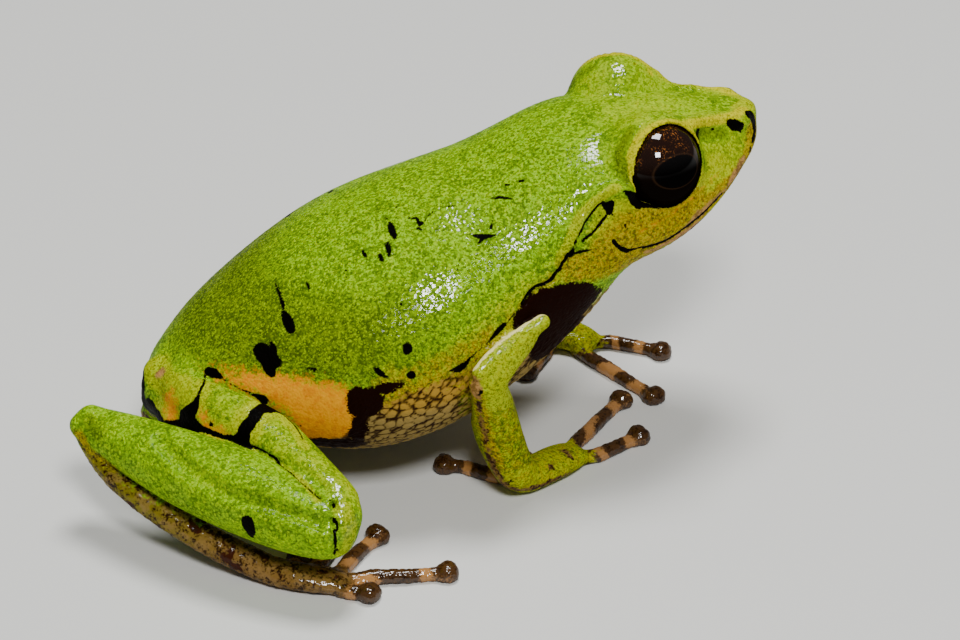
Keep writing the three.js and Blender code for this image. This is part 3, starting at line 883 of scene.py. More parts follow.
@dataclass
class SkinFinish:
    """Living frog skin: fine granules under a film of water.

    The granules give a velvety, speckled green, and the film breaks each lamp into clusters of white sparks.
    Every coat is laid over the one before by a distance stored on the mesh, its edge torn by noise.
    """

    graph: Graph = field(init=False)
    at: Socket = field(init=False)
    fine: Socket = field(init=False)
    speck: Socket = field(init=False)
    granules: bpy.types.Node = field(init=False)

    def __post_init__(self) -> None:
        """Makes the noises and granules that all coats share."""
        self.graph = Graph("frog_skin_moist_granular")
        self.at = self.graph.millimetres()
        self.fine = self.graph.noise(self.at, 0.12, 2.0)
        self.speck = self.graph.noise(self.at, 0.35, 3.0)
        self.granules = self.graph.cells(self.at, GRANULE)

    def material(self) -> bpy.types.Material:
        """Builds the material.

        Returns:
            It, reading the markings stored on the skin's mesh.
        """
        graph = self.graph
        colour, dull = self.coats(self.ground())
        wet = graph.reading("wet")
        rough = graph.plus(graph.times(self.speck, 0.3), 0.4)
        rough = graph.minus(rough, graph.times(wet, 0.2))
        # The film stands in puddles, and coloured coats hold little of it.
        puddles = graph.ramp(graph.noise(self.at, 1.8, 2.0), 0.38, 0.62)
        film = graph.plus(graph.times(puddles, 0.1), graph.reading("film"))
        film = graph.times(film, graph.minus(1.0, graph.times(dull, 0.92)))
        film = graph.times(film, 0.45)
        shader = graph.finish(
            {
                "Base Color": colour,
                "Roughness": rough,
                "Normal": self.grain(),
                "Specular IOR Level": 0.02,
                "Subsurface Weight": 0.05,
                "Subsurface Scale": 0.4 * MM,
                "Coat Weight": film,
                "Coat Roughness": 0.05,
                "Coat IOR": 2.0,
                "Coat Normal": self.beads(),
            }
        )
        shader.inputs["Subsurface Radius"].default_value = (1.0, 0.7, 0.2)
        return graph.material

    def over(self, share: Value, under: Socket, code: str) -> Socket:
        """A plain colour laid over another by a share."""
        return self.graph.mixed(share, under, linear(code))

    def tones(self, value: Value, low: float, high: float, dark: str, pale: str) -> Socket:
        """Two colours run together as a value goes from low to high."""
        return self.graph.mixed(self.graph.ramp(value, low, high), linear(dark), linear(pale))

    def ground(self) -> Socket:
        """Leaf green granules, each with its own tint, darkened to olive on the sides as painted shade, with
        golden cheeks and yellow rims.
        """
        graph, fine, speck = self.graph, self.fine, self.speck
        broad = graph.noise(self.at, 2.2, 2.0)
        tints = graph.split(self.granules.outputs["Color"])
        blotch = graph.plus(graph.times(broad, 0.36), graph.times(speck, 0.24))
        blotch = graph.plus(blotch, graph.times(tints[0], 0.4))
        # Where the skin is velvety its granules are of nearly one green.
        velvet = graph.reading("velvet")
        calm = graph.plus(graph.times(broad, 0.8), 0.12)
        blotch = graph.mixed(graph.times(velvet, 0.45), blotch, calm)
        colour = self.tones(blotch, 0.34, 0.66, PALETTE.leaf_deep, PALETTE.leaf)
        light = graph.times(graph.ramp(tints[1], 0.72, 1.0), 0.6)
        colour = self.over(light, colour, PALETTE.leaf_light)
        # The olive coat, which is mostly painted shade.
        low = self.tones(blotch, 0.36, 0.62, PALETTE.olive_deep, PALETTE.olive)
        colour = graph.mixed(graph.reading("olive"), colour, low)
        yellow = graph.ramp(graph.plus(graph.reading("yellow"), graph.times(blotch, 0.9)), 0.6, 1.1)
        colour = self.over(graph.times(yellow, 0.85), colour, PALETTE.yellow)
        tone = graph.plus(graph.times(fine, 0.5), graph.times(tints[2], 0.5))
        gold = graph.ramp(graph.plus(graph.reading("gold"), graph.times(speck, 0.9)), 0.6, 1.2)
        tone = self.tones(tone, 0.2, 0.6, PALETTE.gold_deep, PALETTE.gold)
        colour = graph.mixed(gold, colour, tone)
        colour = self.over(graph.ramp(self.torn("rim", fine, 0.5), 0.35, 0.8), colour, PALETTE.rim)
        pits = graph.ramp(self.granules.outputs["Distance"], 0.4, 0.8)
        pits = graph.times(pits, graph.ramp(fine, 0.65, 0.4))
        # Specks of dark and of light pigment.
        pigment = graph.split(graph.cells(self.at, PIGMENT).outputs["Color"])[0]
        amount = graph.minus(0.7, graph.times(velvet, 0.3))
        colour = self.over(graph.times(graph.ramp(pigment, 0.5, 1.0), amount), colour, PALETTE.pit)
        bright = graph.times(graph.ramp(pigment, 0.4, 0.0), graph.times(amount, 0.6))
        colour = self.over(bright, colour, PALETTE.leaf_light)
        return self.over(graph.times(pits, 0.55), colour, PALETTE.pit)

    def coats(self, colour: Socket) -> tuple[Socket, Socket]:
        """The coloured coats over the ground, from palest to darkest.

        Args:
            colour: the ground's.

        Returns:
            The colour, and how much of the skin is under orange, belly, maroon or black.
        """
        graph, fine, speck = self.graph, self.fine, self.speck
        stipple = graph.plus(graph.times(speck, 0.6), graph.times(fine, 0.4))
        orange = graph.ramp(self.torn("orange", stipple, 2.2), 0.4, -0.35)
        warm = self.tones(stipple, 0.35, 0.6, PALETTE.orange_deep, PALETTE.orange)
        colour = graph.mixed(orange, colour, warm)
        seam = graph.ramp(graph.reading("seam"), 0.03, 0.24)
        cream = graph.mixed(graph.reading("gold"), linear(PALETTE.cream), linear(PALETTE.cream_golden))
        cobble = graph.mixed(seam, linear(PALETTE.seam), cream)
        belly = graph.ramp(self.torn("belly", speck, 1.6), 0.3, -0.3)
        colour = graph.mixed(belly, colour, cobble)
        colour = self.feet(colour)
        # Cream, which along the upper arm's hind edge is partly a painted highlight.
        white = graph.ramp(self.torn("white", fine, 0.3), 0.06, -0.06)
        colour = self.over(white, colour, PALETTE.white)
        # Dark brown patches, one partly painted shadow under the orange flank.
        maroon = graph.ramp(self.torn("maroon", fine, 0.4), 0.06, -0.06)
        colour = self.over(maroon, colour, PALETTE.maroon)
        ink = graph.ramp(self.torn("ink", fine, 0.12), 0.03, -0.03)
        # A few cells bear a small black dot.
        dots = graph.cells(self.at, DOT_SPACING)
        chosen = graph.split(dots.outputs["Color"])[0]
        reach = graph.times(graph.ramp(chosen, 0.6, 1.0), 0.07)
        ink = graph.most(ink, graph.math("GREATER_THAN", reach, dots.outputs["Distance"]))
        dull = graph.most(graph.most(ink, maroon), graph.most(orange, belly))
        dull = graph.most(dull, graph.times(graph.reading("rim"), 0.8))
        return self.over(ink, colour, PALETTE.black), dull

    def feet(self, colour: Socket) -> Socket:
        """The brown of the tarsi, feet and hands, their pale bands, and bare flesh."""
        graph, fine, speck = self.graph, self.fine, self.speck
        earth = graph.mixed(graph.reading("earthy"), linear(PALETTE.olive_brown), linear(PALETTE.brown))
        patches = graph.noise(self.at, 1.0, 3.0)
        earth = self.over(graph.times(graph.ramp(patches, 0.5, 0.6), 0.55), earth, PALETTE.pinkish)
        earth = self.over(graph.ramp(patches, 0.41, 0.37), earth, PALETTE.liver)
        earth = self.over(graph.reading("dusky"), earth, PALETTE.dusk)
        flecks = graph.plus(graph.times(fine, 0.4), graph.times(speck, 0.6))
        brown = graph.mixed(graph.ramp(flecks, 0.38, 0.54), linear(PALETTE.dark_brown), earth)
        brown = self.over(graph.ramp(self.torn("pale", fine, 0.5), 0.1, -0.1), brown, PALETTE.pale)
        colour = graph.mixed(graph.ramp(self.torn("brown", speck, 1.4), 0.15, -0.15), colour, brown)
        flesh = graph.ramp(self.torn("flesh", fine, 0.4), 0.15, -0.1)
        bare = self.tones(flecks, 0.42, 0.56, PALETTE.brown, PALETTE.flesh)
        return graph.mixed(flesh, colour, bare)

    def torn(self, attribute: str, noise: Socket, amount: float) -> Socket:
        """A marking's distance with its edge torn by noise, by an amount in millimetres."""
        shift = self.graph.times(self.graph.minus(noise, 0.5), amount)
        return self.graph.plus(self.graph.reading(attribute), shift)

    def grain(self) -> Socket:
        """The granules as bumps, drawn coarser than real ones, as the comment over GRANULE says."""
        cells = self.granules.outputs["Distance"]
        dome = self.graph.minus(1.0, self.graph.times(cells, cells))
        height = self.graph.plus(dome, self.graph.noise(self.at, 0.4, 2.0))
        return self.graph.bump(height, strength=0.7, depth=0.04)

    def beads(self) -> Socket:
        """The film of water, drawn up over clumps of granules about a third of a millimetre across."""
        clumps = self.graph.cells(self.at, CLUMP).outputs["Distance"]
        height = self.graph.minus(self.graph.noise(self.at, 0.25, 1.0), self.graph.times(clumps, clumps))
        return self.graph.bump(height, strength=0.6, depth=0.05)


class EyeFinish:
    """A wet eyeball: a clear, tight film over a dark brown iris with copper flecks round a level pupil.

    The film gives the eye its depth and mirrors each lamp as one sharp window of light.
    """

    def material(self, side: Side) -> bpy.types.Material:
        """Builds the material of one eye, whose object looks along its own +Z.

        Args:
            side: the side of the head.

        Returns:
            The material.
        """
        graph = Graph(f"wet_eyeball_{side.mark}")
        at = graph.millimetres()
        x, y, _ = graph.add("ShaderNodeSeparateXYZ", {0: at}).outputs
        wide = graph.math("POWER", graph.math("DIVIDE", x, 1.3), 2.0)
        tall = graph.math("POWER", graph.math("DIVIDE", y, 0.85), 2.0)
        oval = graph.plus(wide, tall)
        pupil = graph.ramp(oval, 1.1, 0.9)
        ring = graph.times(graph.ramp(oval, 1.3, 1.12), graph.ramp(oval, 1.0, 1.12))
        clusters = graph.times(graph.ramp(graph.noise(at, 0.9, 1.0), 0.38, 0.62), graph.ramp(y, 0.1, 1.5))
        flecks = graph.times(graph.ramp(graph.noise(at, 0.1, 4.0), 0.53, 0.68), clusters)
        iris = graph.mixed(graph.ramp(y, -0.6, 1.4), linear(PALETTE.iris_low), linear(PALETTE.iris_high))
        iris = graph.mixed(flecks, iris, linear(PALETTE.copper))
        colour = graph.mixed(pupil, iris, linear(PALETTE.pupil))
        colour = graph.mixed(graph.times(ring, 0.25), colour, linear(PALETTE.pupil_ring))
        tears = graph.plus(graph.times(graph.ramp(y, -0.2, 0.8), 0.4), 0.008)
        graph.finish(
            {
                "Base Color": colour,
                "Roughness": 0.3,
                "Specular IOR Level": 0.0,
                "Coat Weight": tears,
                "Coat Roughness": 0.02,
                "Coat IOR": 2.0,
            }
        )
        return graph.material


# ---- Markings ----


@dataclass(frozen=True)
class Spot:
    """A spot on the side of the body: its place from the side, its half sizes and its tilt in degrees."""

    x: float
    z: float
    wide: float
    tall: float
    tilt: float = 0.0

    def distance(self, points: np.ndarray) -> np.ndarray:
        """Distance to its edge, negative inside."""
        turn = math.radians(self.tilt)
        dx, dz = points[:, 0] - self.x, points[:, 2] - self.z
        along = (dx * math.cos(turn) + dz * math.sin(turn)) / self.wide
        across = (dz * math.cos(turn) - dx * math.sin(turn)) / self.tall
        return (np.sqrt(along**2 + across**2) - 1) * min(self.wide, self.tall)


RIGHT_SPOTS = (
    Spot(-12.85, 9.62, 0.6, 0.48),
    Spot(-12.85, 9.2, 0.3, 0.35),
    Spot(-12.5, 10.1, 0.16, 0.22),
    Spot(-11.55, 11.2, 0.28, 0.36),
    Spot(-11.6, 11.6, 0.12, 0.35),
    Spot(-5.5, 14.85, 0.24, 0.2, 30),
    Spot(-5.95, 14.4, 0.28, 0.2, 40),
    Spot(-6.4, 14.1, 0.16, 0.14),
    Spot(-7.15, 14.05, 0.1, 0.1),
    Spot(-10.2, 12.55, 0.08, 0.12),
    Spot(-6.0, 10.75, 0.25, 0.3),
    Spot(-5.9, 9.4, 0.24, 0.24),
    Spot(-7.5, 9.6, 0.42, 0.16, -40),
    Spot(-3.2, 9.35, 0.42, 0.2, 20),
)
LEFT_SPOTS = (
    Spot(-11.8, 10.1, 0.55, 0.6),
    Spot(-9.4, 12.2, 0.3, 0.26, 20),
    Spot(-7.2, 13.6, 0.2, 0.16),
    Spot(-6.6, 9.9, 0.26, 0.3),
    Spot(-4.4, 11.9, 0.16, 0.2),
    Spot(-8.3, 9.5, 0.34, 0.16, -30),
    Spot(-1.9, 14.2, 0.22, 0.12, 25),
    Spot(-13.4, 8.8, 0.18, 0.2),
)
# Small black strokes on the right of the back, as x, distance outward, and z.
STROKES: Sequence[Line] = (
    (((-0.3, 3.0, 16.28), (0.25, 3.25, 16.38), (0.8, 3.6, 16.4)), (0.02, 0.07, 0.02)),
    (((-1.65, 4.55, 15.1), (-1.1, 4.8, 15.07), (-0.4, 4.9, 15.13)), (0.06, 0.16, 0.02)),
    (((-1.1, 4.8, 15.05), (-1.4, 5.0, 14.85)), (0.12, 0.05)),
    (((-0.46, 4.2, 15.62), (-0.6, 4.5, 15.38)), (0.04, 0.09)),
    (
        ((-4.5, 2.3, 15.3), (-4.12, 2.5, 15.34), (-4.05, 2.95, 15.22), (-3.7, 2.8, 15.36)),
        (0.07, 0.09, 0.12, 0.03),
    ),
    (((-3.7, 2.7, 15.4), (-3.2, 2.45, 15.6)), (0.03, 0.05)),
    (((-4.25, 3.15, 15.1), (-4.05, 3.3, 15.1)), (0.07, 0.05)),
    (((-2.4, 2.54, 15.8), (-2.1, 2.6, 15.86)), (0.05, 0.04)),
    (((-2.54, 5.43, 14.27), (-2.8, 5.82, 13.88)), (0.02, 0.03)),
    (((1.4, 2.9, 17.0), (1.6, 2.95, 17.02)), (0.08, 0.06)),
    (((0.66, 2.7, 16.8), (0.85, 2.8, 16.82)), (0.06, 0.04)),
    (((-11.3, 6.36, 9.34), (-10.98, 6.43, 9.55), (-10.68, 6.64, 9.51)), (0.03, 0.06, 0.1)),
)
# Where the film of water stands thickest, as a point in the frog's frame and a radius.
PUDDLES: Sequence[tuple[Point, float]] = (
    ((-2.27, -3.31, 15.57), 0.55), ((-1.61, -4.1, 15.36), 0.4), ((0.73, -5.26, 15.14), 0.5),
    ((1.47, -4.66, 15.98), 0.5), ((-4.1, -6.29, 13.18), 0.75), ((5.74, -2.97, 18.32), 0.5),
    ((4.48, -4.72, 17.06), 0.4), ((3.71, -5.52, 16.05), 0.4), ((8.12, 2.79, 19.88), 0.5),
    ((7.6, 1.92, 19.26), 0.3), ((-10.99, -12.67, 6.28), 0.5), ((-11.38, -14.46, 5.37), 0.6),
    ((-12.68, -11.5, 6.21), 0.3), ((-3.6, 5.2, 14.6), 0.7), ((1.2, 5.0, 15.4), 0.5),
)
# The black ground between the bars of the right thigh.
THIGH_BLACK: Sequence[Line] = (
    (
        ((-16.18, 4.35, 8.0), (-16.54, 4.76, 7.94), (-16.83, 5.03, 7.35), (-17.2, 4.9, 6.5)),
        (0.1, 0.13, 0.3, 0.7),
    ),
    (((-13.6, 5.75, 7.75), (-13.1, 6.6, 7.65), (-12.61, 6.89, 7.28)), (0.12, 0.42, 0.2)),
    (
        ((-13.1, 6.7, 7.6), (-13.9, 7.1, 7.75), (-14.5, 7.7, 7.4), (-14.9, 7.9, 6.5)),
        (0.42, 0.42, 0.42, 0.6),
    ),
    (((-17.2, 4.9, 6.2), (-16.6, 5.9, 6.2), (-15.9, 7.0, 6.2), (-14.9, 8.1, 6.3)), (0.7, 0.45, 0.42, 0.6)),
    (
        ((-18.9, 0.1, 7.0), (-19.0, 0.5, 6.1), (-19.0, 0.3, 5.2), (-18.5, 1.2, 4.4), (-18.1, 3.2, 4.6)),
        (0.25, 0.45, 0.6, 0.9, 0.9),
    ),
    (((-18.5, 1.3, 5.4), (-18.1, 3.0, 5.3), (-17.5, 4.4, 5.7)), (0.4, 0.35, 0.45)),
)
# Thin black lines over the right thigh, laid on the skin: mostly painted shadow in the crease of its upper
# edge.
THIGH_LINES: Sequence[Line] = (
    (((-15.94, 3.46, 8.04), (-16.18, 4.35, 8.13), (-16.5, 4.7, 7.9)), (0.07, 0.07, 0.1)),
    (((-15.75, 3.35, 8.25), (-15.5, 3.65, 8.26), (-15.2, 4.03, 8.2)), (0.24, 0.28, 0.14)),
    (
        ((-15.2, 4.03, 8.19), (-14.81, 4.54, 8.04), (-14.28, 5.05, 7.89), (-13.73, 5.51, 7.75)),
        (0.05, 0.045, 0.045, 0.1),
    ),
    (((-13.73, 5.51, 7.75), (-13.25, 6.1, 7.6), (-12.75, 6.6, 7.35)), (0.1, 0.32, 0.24)),
    (
        ((-12.61, 6.89, 7.28), (-12.44, 7.08, 7.19), (-12.09, 7.81, 7.02), (-11.98, 9.17, 7.01)),
        (0.16, 0.12, 0.08, 0.04),
    ),
    (((-16.22, 6.25, 6.85), (-16.1, 6.35, 6.85)), (0.12, 0.1)),
)
# The orange ends of the bars of the right thigh.
THIGH_ORANGE: Sequence[Line] = (
    (((-17.85, 3.2, 6.6), (-17.8, 3.55, 6.35), (-17.86, 3.7, 6.1)), (0.5,)),
    (((-16.62, 5.66, 7.1), (-16.55, 6.03, 6.7), (-16.23, 6.48, 6.69), (-15.84, 6.99, 6.69)), (0.16,)),
)
# Black lines and flecks of the face: jaw, eardrum, nostril, snout, lore, the corner behind the eye, lips.
FACE_LINES: Sequence[Line] = (
    (((5.67, 5.96, 14.4), (6.08, 5.84, 13.88), (6.53, 5.74, 13.55)), (0.13, 0.15, 0.12)),
    (((5.14, 5.44, 16.58), (5.39, 5.5, 16.31), (5.66, 5.42, 16.45)), (0.1, 0.2, 0.14)),
    (((5.66, 5.42, 16.4), (5.53, 5.55, 16.05), (5.36, 5.57, 15.83)), (0.2, 0.18, 0.1)),
    (((3.27, 6.08, 14.01), (3.7, 6.25, 14.22), (4.49, 6.19, 14.24)), (0.14, 0.1, 0.04)),
    (((13.45, 1.42, 17.95), (13.71, 1.42, 17.8), (14.05, 1.4, 17.63)), (0.26, 0.34, 0.28)),
    (((14.05, 1.42, 17.6), (14.05, 1.44, 17.33)), (0.16, 0.06)),
    (((14.66, 0.85, 18.03), (14.95, 0.65, 17.8), (15.05, 0.6, 17.4)), (0.26, 0.34, 0.24)),
    (((15.12, 0.6, 17.3), (15.1, 0.81, 16.94)), (0.26, 0.2)),
    (((14.95, 1.05, 16.75), (14.8, 1.3, 16.6)), (0.17, 0.12)),
    (((14.6, 1.6, 16.35), (14.5, 1.7, 16.2)), (0.09, 0.07)),
    (((11.05, 2.9, 18.35), (11.27, 2.54, 18.26), (11.33, 2.6, 17.95)), (0.14, 0.26, 0.16)),
    (((12.3, 1.85, 17.96), (12.45, 1.8, 17.95)), (0.08, 0.06)),
    (((6.3, 5.5, 17.1), (6.6, 5.55, 16.95), (6.95, 5.4, 16.5), (7.2, 5.3, 16.1)), (0.05, 0.18, 0.32, 0.3)),
    (((7.2, 5.3, 16.1), (7.7, 5.29, 15.9), (8.6, 5.1, 15.6)), (0.22, 0.16, 0.05)),
    (((6.31, 5.9, 15.28), (6.4, 5.93, 15.05)), (0.07, 0.08)),
    (((5.66, 5.73, 15.89), (5.75, 5.75, 15.8)), (0.06, 0.04)),
    (((9.7, 4.6, 13.2), (10.5, 4.2, 13.4), (11.3, 3.8, 13.8)), (0.05, 0.14, 0.1)),
)
# Black lines of the right side alone: painted shadow in the armpit along the arm's hind edge, and lines of
# the palm and elbow.
RIGHT_LINES: Sequence[Line] = (
    # Painted shadow where the arm's hind edge lies against the flank.
    (((0.45, 6.88, 11.94), (-0.5, 7.25, 11.25)), (0.04, 0.04)),
    (((-0.72, 7.34, 11.12), (-1.1, 7.58, 10.86), (-1.7, 7.8, 10.35)), (0.16, 0.16, 0.04)),
    (
        ((-1.7, 7.8, 10.35), (-2.6, 8.0, 9.85), (-3.05, 8.12, 9.42), (-3.83, 8.22, 9.3)),
        (0.03, 0.05, 0.17, 0.05),
    ),
    (((-0.64, 7.9, 1.2), (-0.46, 8.14, 1.75), (0.07, 8.13, 1.36)), (0.03, 0.06, 0.03)),
    (((-2.35, 9.1, 8.3), (-2.5, 9.0, 8.0)), (0.12, 0.06)),
)
# The black spot on the right shank.
SHANK_SPOT: Sequence[Line] = (
    (((-15.72, 12.58, 4.75), (-15.62, 12.6, 4.3), (-15.5, 12.5, 3.75)), (0.38, 0.36, 0.1)),
)
# The brown hind edge of the right forearm, the edge of the palm and two blots on it.
HAND_BROWN: Sequence[Line] = (
    (
        ((-2.5, 9.05, 8.1), (-2.55, 8.75, 6.6), (-2.1, 8.3, 4.6), (-1.6, 7.9, 2.4), (-0.7, 7.8, 0.9)),
        (0.05, 0.14, 0.2, 0.24, 0.3),
    ),
    (((-0.7, 7.9, 0.8), (0.6, 8.25, 0.5), (2.0, 7.4, 0.5), (3.3, 6.5, 0.5)), (0.3, 0.2, 0.16, 0.1)),
    (((3.1, 5.4, 1.3), (3.55, 5.95, 1.1)), (0.12, 0.16)),
    (((2.28, 6.72, 1.28), (2.0, 6.85, 1.3)), (0.06, 0.1)),
)
# Bare flesh of the lower lip, of the upper lip, of the vent's flap and of the elbow.
LIP_FLESH: Line = (((7.8, 5.3, 13.0), (9.6, 4.8, 13.25), (10.8, 4.3, 13.7)), (0.2, 0.26, 0.16))
LIP_FLESH_UPPER: Line = (
    ((9.9, 4.7, 14.0), (11.0, 4.1, 14.4), (12.0, 3.5, 14.8), (13.1, 2.7, 15.4), (14.0, 2.0, 16.1)),
    (0.06, 0.16, 0.12, 0.14, 0.08),
)
VENT_FLESH: Line = (((-17.9, 1.3, 7.3), (-18.1, 1.2, 7.05)), (0.22, 0.18))
ELBOW_FLESH: Line = (((-2.75, 9.0, 9.0), (-2.8, 9.1, 8.2), (-2.5, 9.0, 7.4)), (0.3, 0.42, 0.2))
# The orange of the upper lip, and the cream of the breast beside the arm.
LIP_ORANGE: Curve = ((7.2, 5.75, 14.7), (8.8, 5.1, 14.9), (10.5, 4.3, 15.4), (12.2, 3.3, 16.0))
BREAST_CREAM: Line = (((5.3, 5.1, 11.1), (4.9, 5.0, 10.2)), (0.16, 0.1))
# Painted shade on the head, in olive: the hollow behind the eye, the corner before it and the side of the
# snout.
HEAD_SHADE: Sequence[Stroke] = (
    (
        ((7.3, 3.32, 19.36), (6.89, 3.64, 18.98), (6.5, 3.95, 18.4), (6.5, 4.4, 18.0), (6.8, 5.1, 17.35)),
        0.12, 0.34, 1.0,
    ),
    (((11.2, 2.9, 18.3), (11.9, 2.1, 17.9), (12.9, 1.8, 17.6)), 0.12, 0.34, 0.95),
    (((11.2, 3.2, 17.9), (11.4, 3.3, 17.3), (11.6, 3.4, 16.6)), 0.12, 0.34, 0.6),
)
# Golden brown of the head, of the sides of the body, and of the right heel and forearm.
HEAD_GOLD: Sequence[Stroke] = (
    (((5.4, 5.95, 13.6), (6.6, 5.9, 14.6), (9.0, 5.2, 14.3), (10.6, 4.4, 14.5)), 0.8, 0.8, 0.75),
    (((3.4, 6.2, 13.4), (5.6, 6.0, 12.9), (8.0, 5.0, 12.6)), 0.5, 0.6, 0.7),
    (((10.6, 4.4, 14.4), (13.4, 2.6, 15.3), (14.4, 1.6, 16.1), (15.0, 0.7, 17.2)), 0.25, 0.35, 0.9),
)
BODY_GOLD: Sequence[Stroke] = (
    (((2.2, 6.6, 13.0), (-0.4, 7.4, 11.1)), 0.1, 0.5, 0.5),
    (((-7.2, 8.1, 8.7), (-4.2, 8.2, 9.5), (-1.5, 7.8, 10.4)), 0.3, 0.8, 0.55),
    (((-6.8, 8.1, 8.0), (-3.5, 8.2, 8.2), (-1.0, 8.0, 8.6)), 0.5, 0.7, 0.7),
)
LIMB_GOLD: Sequence[Stroke] = (
    (((-22.9, 3.9, 5.6), (-22.6, 4.4, 4.9), (-21.5, 5.4, 4.3)), 0.16, 0.36, 0.7),
    (((-2.75, 9.1, 8.3), (-2.4, 8.7, 6.8), (-1.85, 8.3, 4.6), (-1.2, 8.1, 2.6)), 0.2, 0.3, 0.85),
)
# Yellow of the head, and of the sides of the body.
HEAD_YELLOW: Sequence[Stroke] = (
    (((6.0, 5.72, 15.0), (9.0, 5.2, 14.9), (12.0, 3.4, 15.7)), 0.7, 1.2, 0.8),
    (((11.6, 3.3, 17.3), (13.4, 2.0, 16.6)), 0.5, 0.7, 0.45),
    (FOLD_CREST, 0.1, 0.25, 0.8),
    (CANTHUS_CREST, 0.1, 0.6, 0.6),
    (((14.3, 0.4, 18.0), (15.1, -0.5, 17.8)), 0.2, 0.4, 0.8),
)
BODY_YELLOW: Sequence[Stroke] = (
    (((-4.0, 8.0, 9.4), (0.3, 7.0, 12.2), (2.4, 6.6, 13.0)), 0.25, 0.9, 0.42),
    (((-7.0, 8.0, 9.5), (-6.6, 8.2, 8.7)), 0.2, 0.4, 0.5),
)
# Where the right leg turns yellow or olive: the thigh's upper edge, the buttock, the knee and the heel.
THIGH_EDGE: Curve = ((-12.9, 7.1, 7.5), (-12.3, 8.4, 7.1), (-12.0, 9.7, 7.0))
BUTTOCK: Curve = ((-18.1, 0.8, 7.2), (-17.9, 2.4, 7.0), (-17.2, 3.6, 7.4))
KNEE_CAP: Curve = ((-11.0, 13.9, 5.6), (-10.8, 14.7, 4.4), (-11.1, 14.6, 3.4))
HEEL_TOP: Curve = ((-22.25, 3.9, 6.5), (-21.9, 4.7, 6.2))
# Dark brown patches behind the belly, and between arm and throat; the last flank patch, a band under the
# orange, is partly painted shadow.
MAROON_FLANK = (
    Spot(-8.35, 7.85, 0.95, 1.0),
    Spot(-7.4, 8.75, 0.75, 0.28, 10),
    Spot(-8.6, 6.0, 0.55, 1.4),
    # A band under the orange flank: dark skin, and painted shadow below the flank.
    Spot(-9.9, 4.4, 1.9, 0.8),
)
MAROON_BREAST = (Spot(2.5, 10.9, 2.6, 1.8), Spot(2.7, 8.9, 1.8, 1.8))
ORANGE_FLANK = Spot(-11.7, 6.75, 4.7, 2.2)
# The upper edge of the belly: its height by how far forward.
BELLY_X = (-17, -12, -9.5, -8.2, -6.5, -3.8, -1, 2, 5, 8, 12, 15)
BELLY_EDGE = (4.0, 4.3, 5.0, 7.2, 8.3, 9.0, 9.2, 9.4, 10.2, 12.3, 13.6, 15.6)


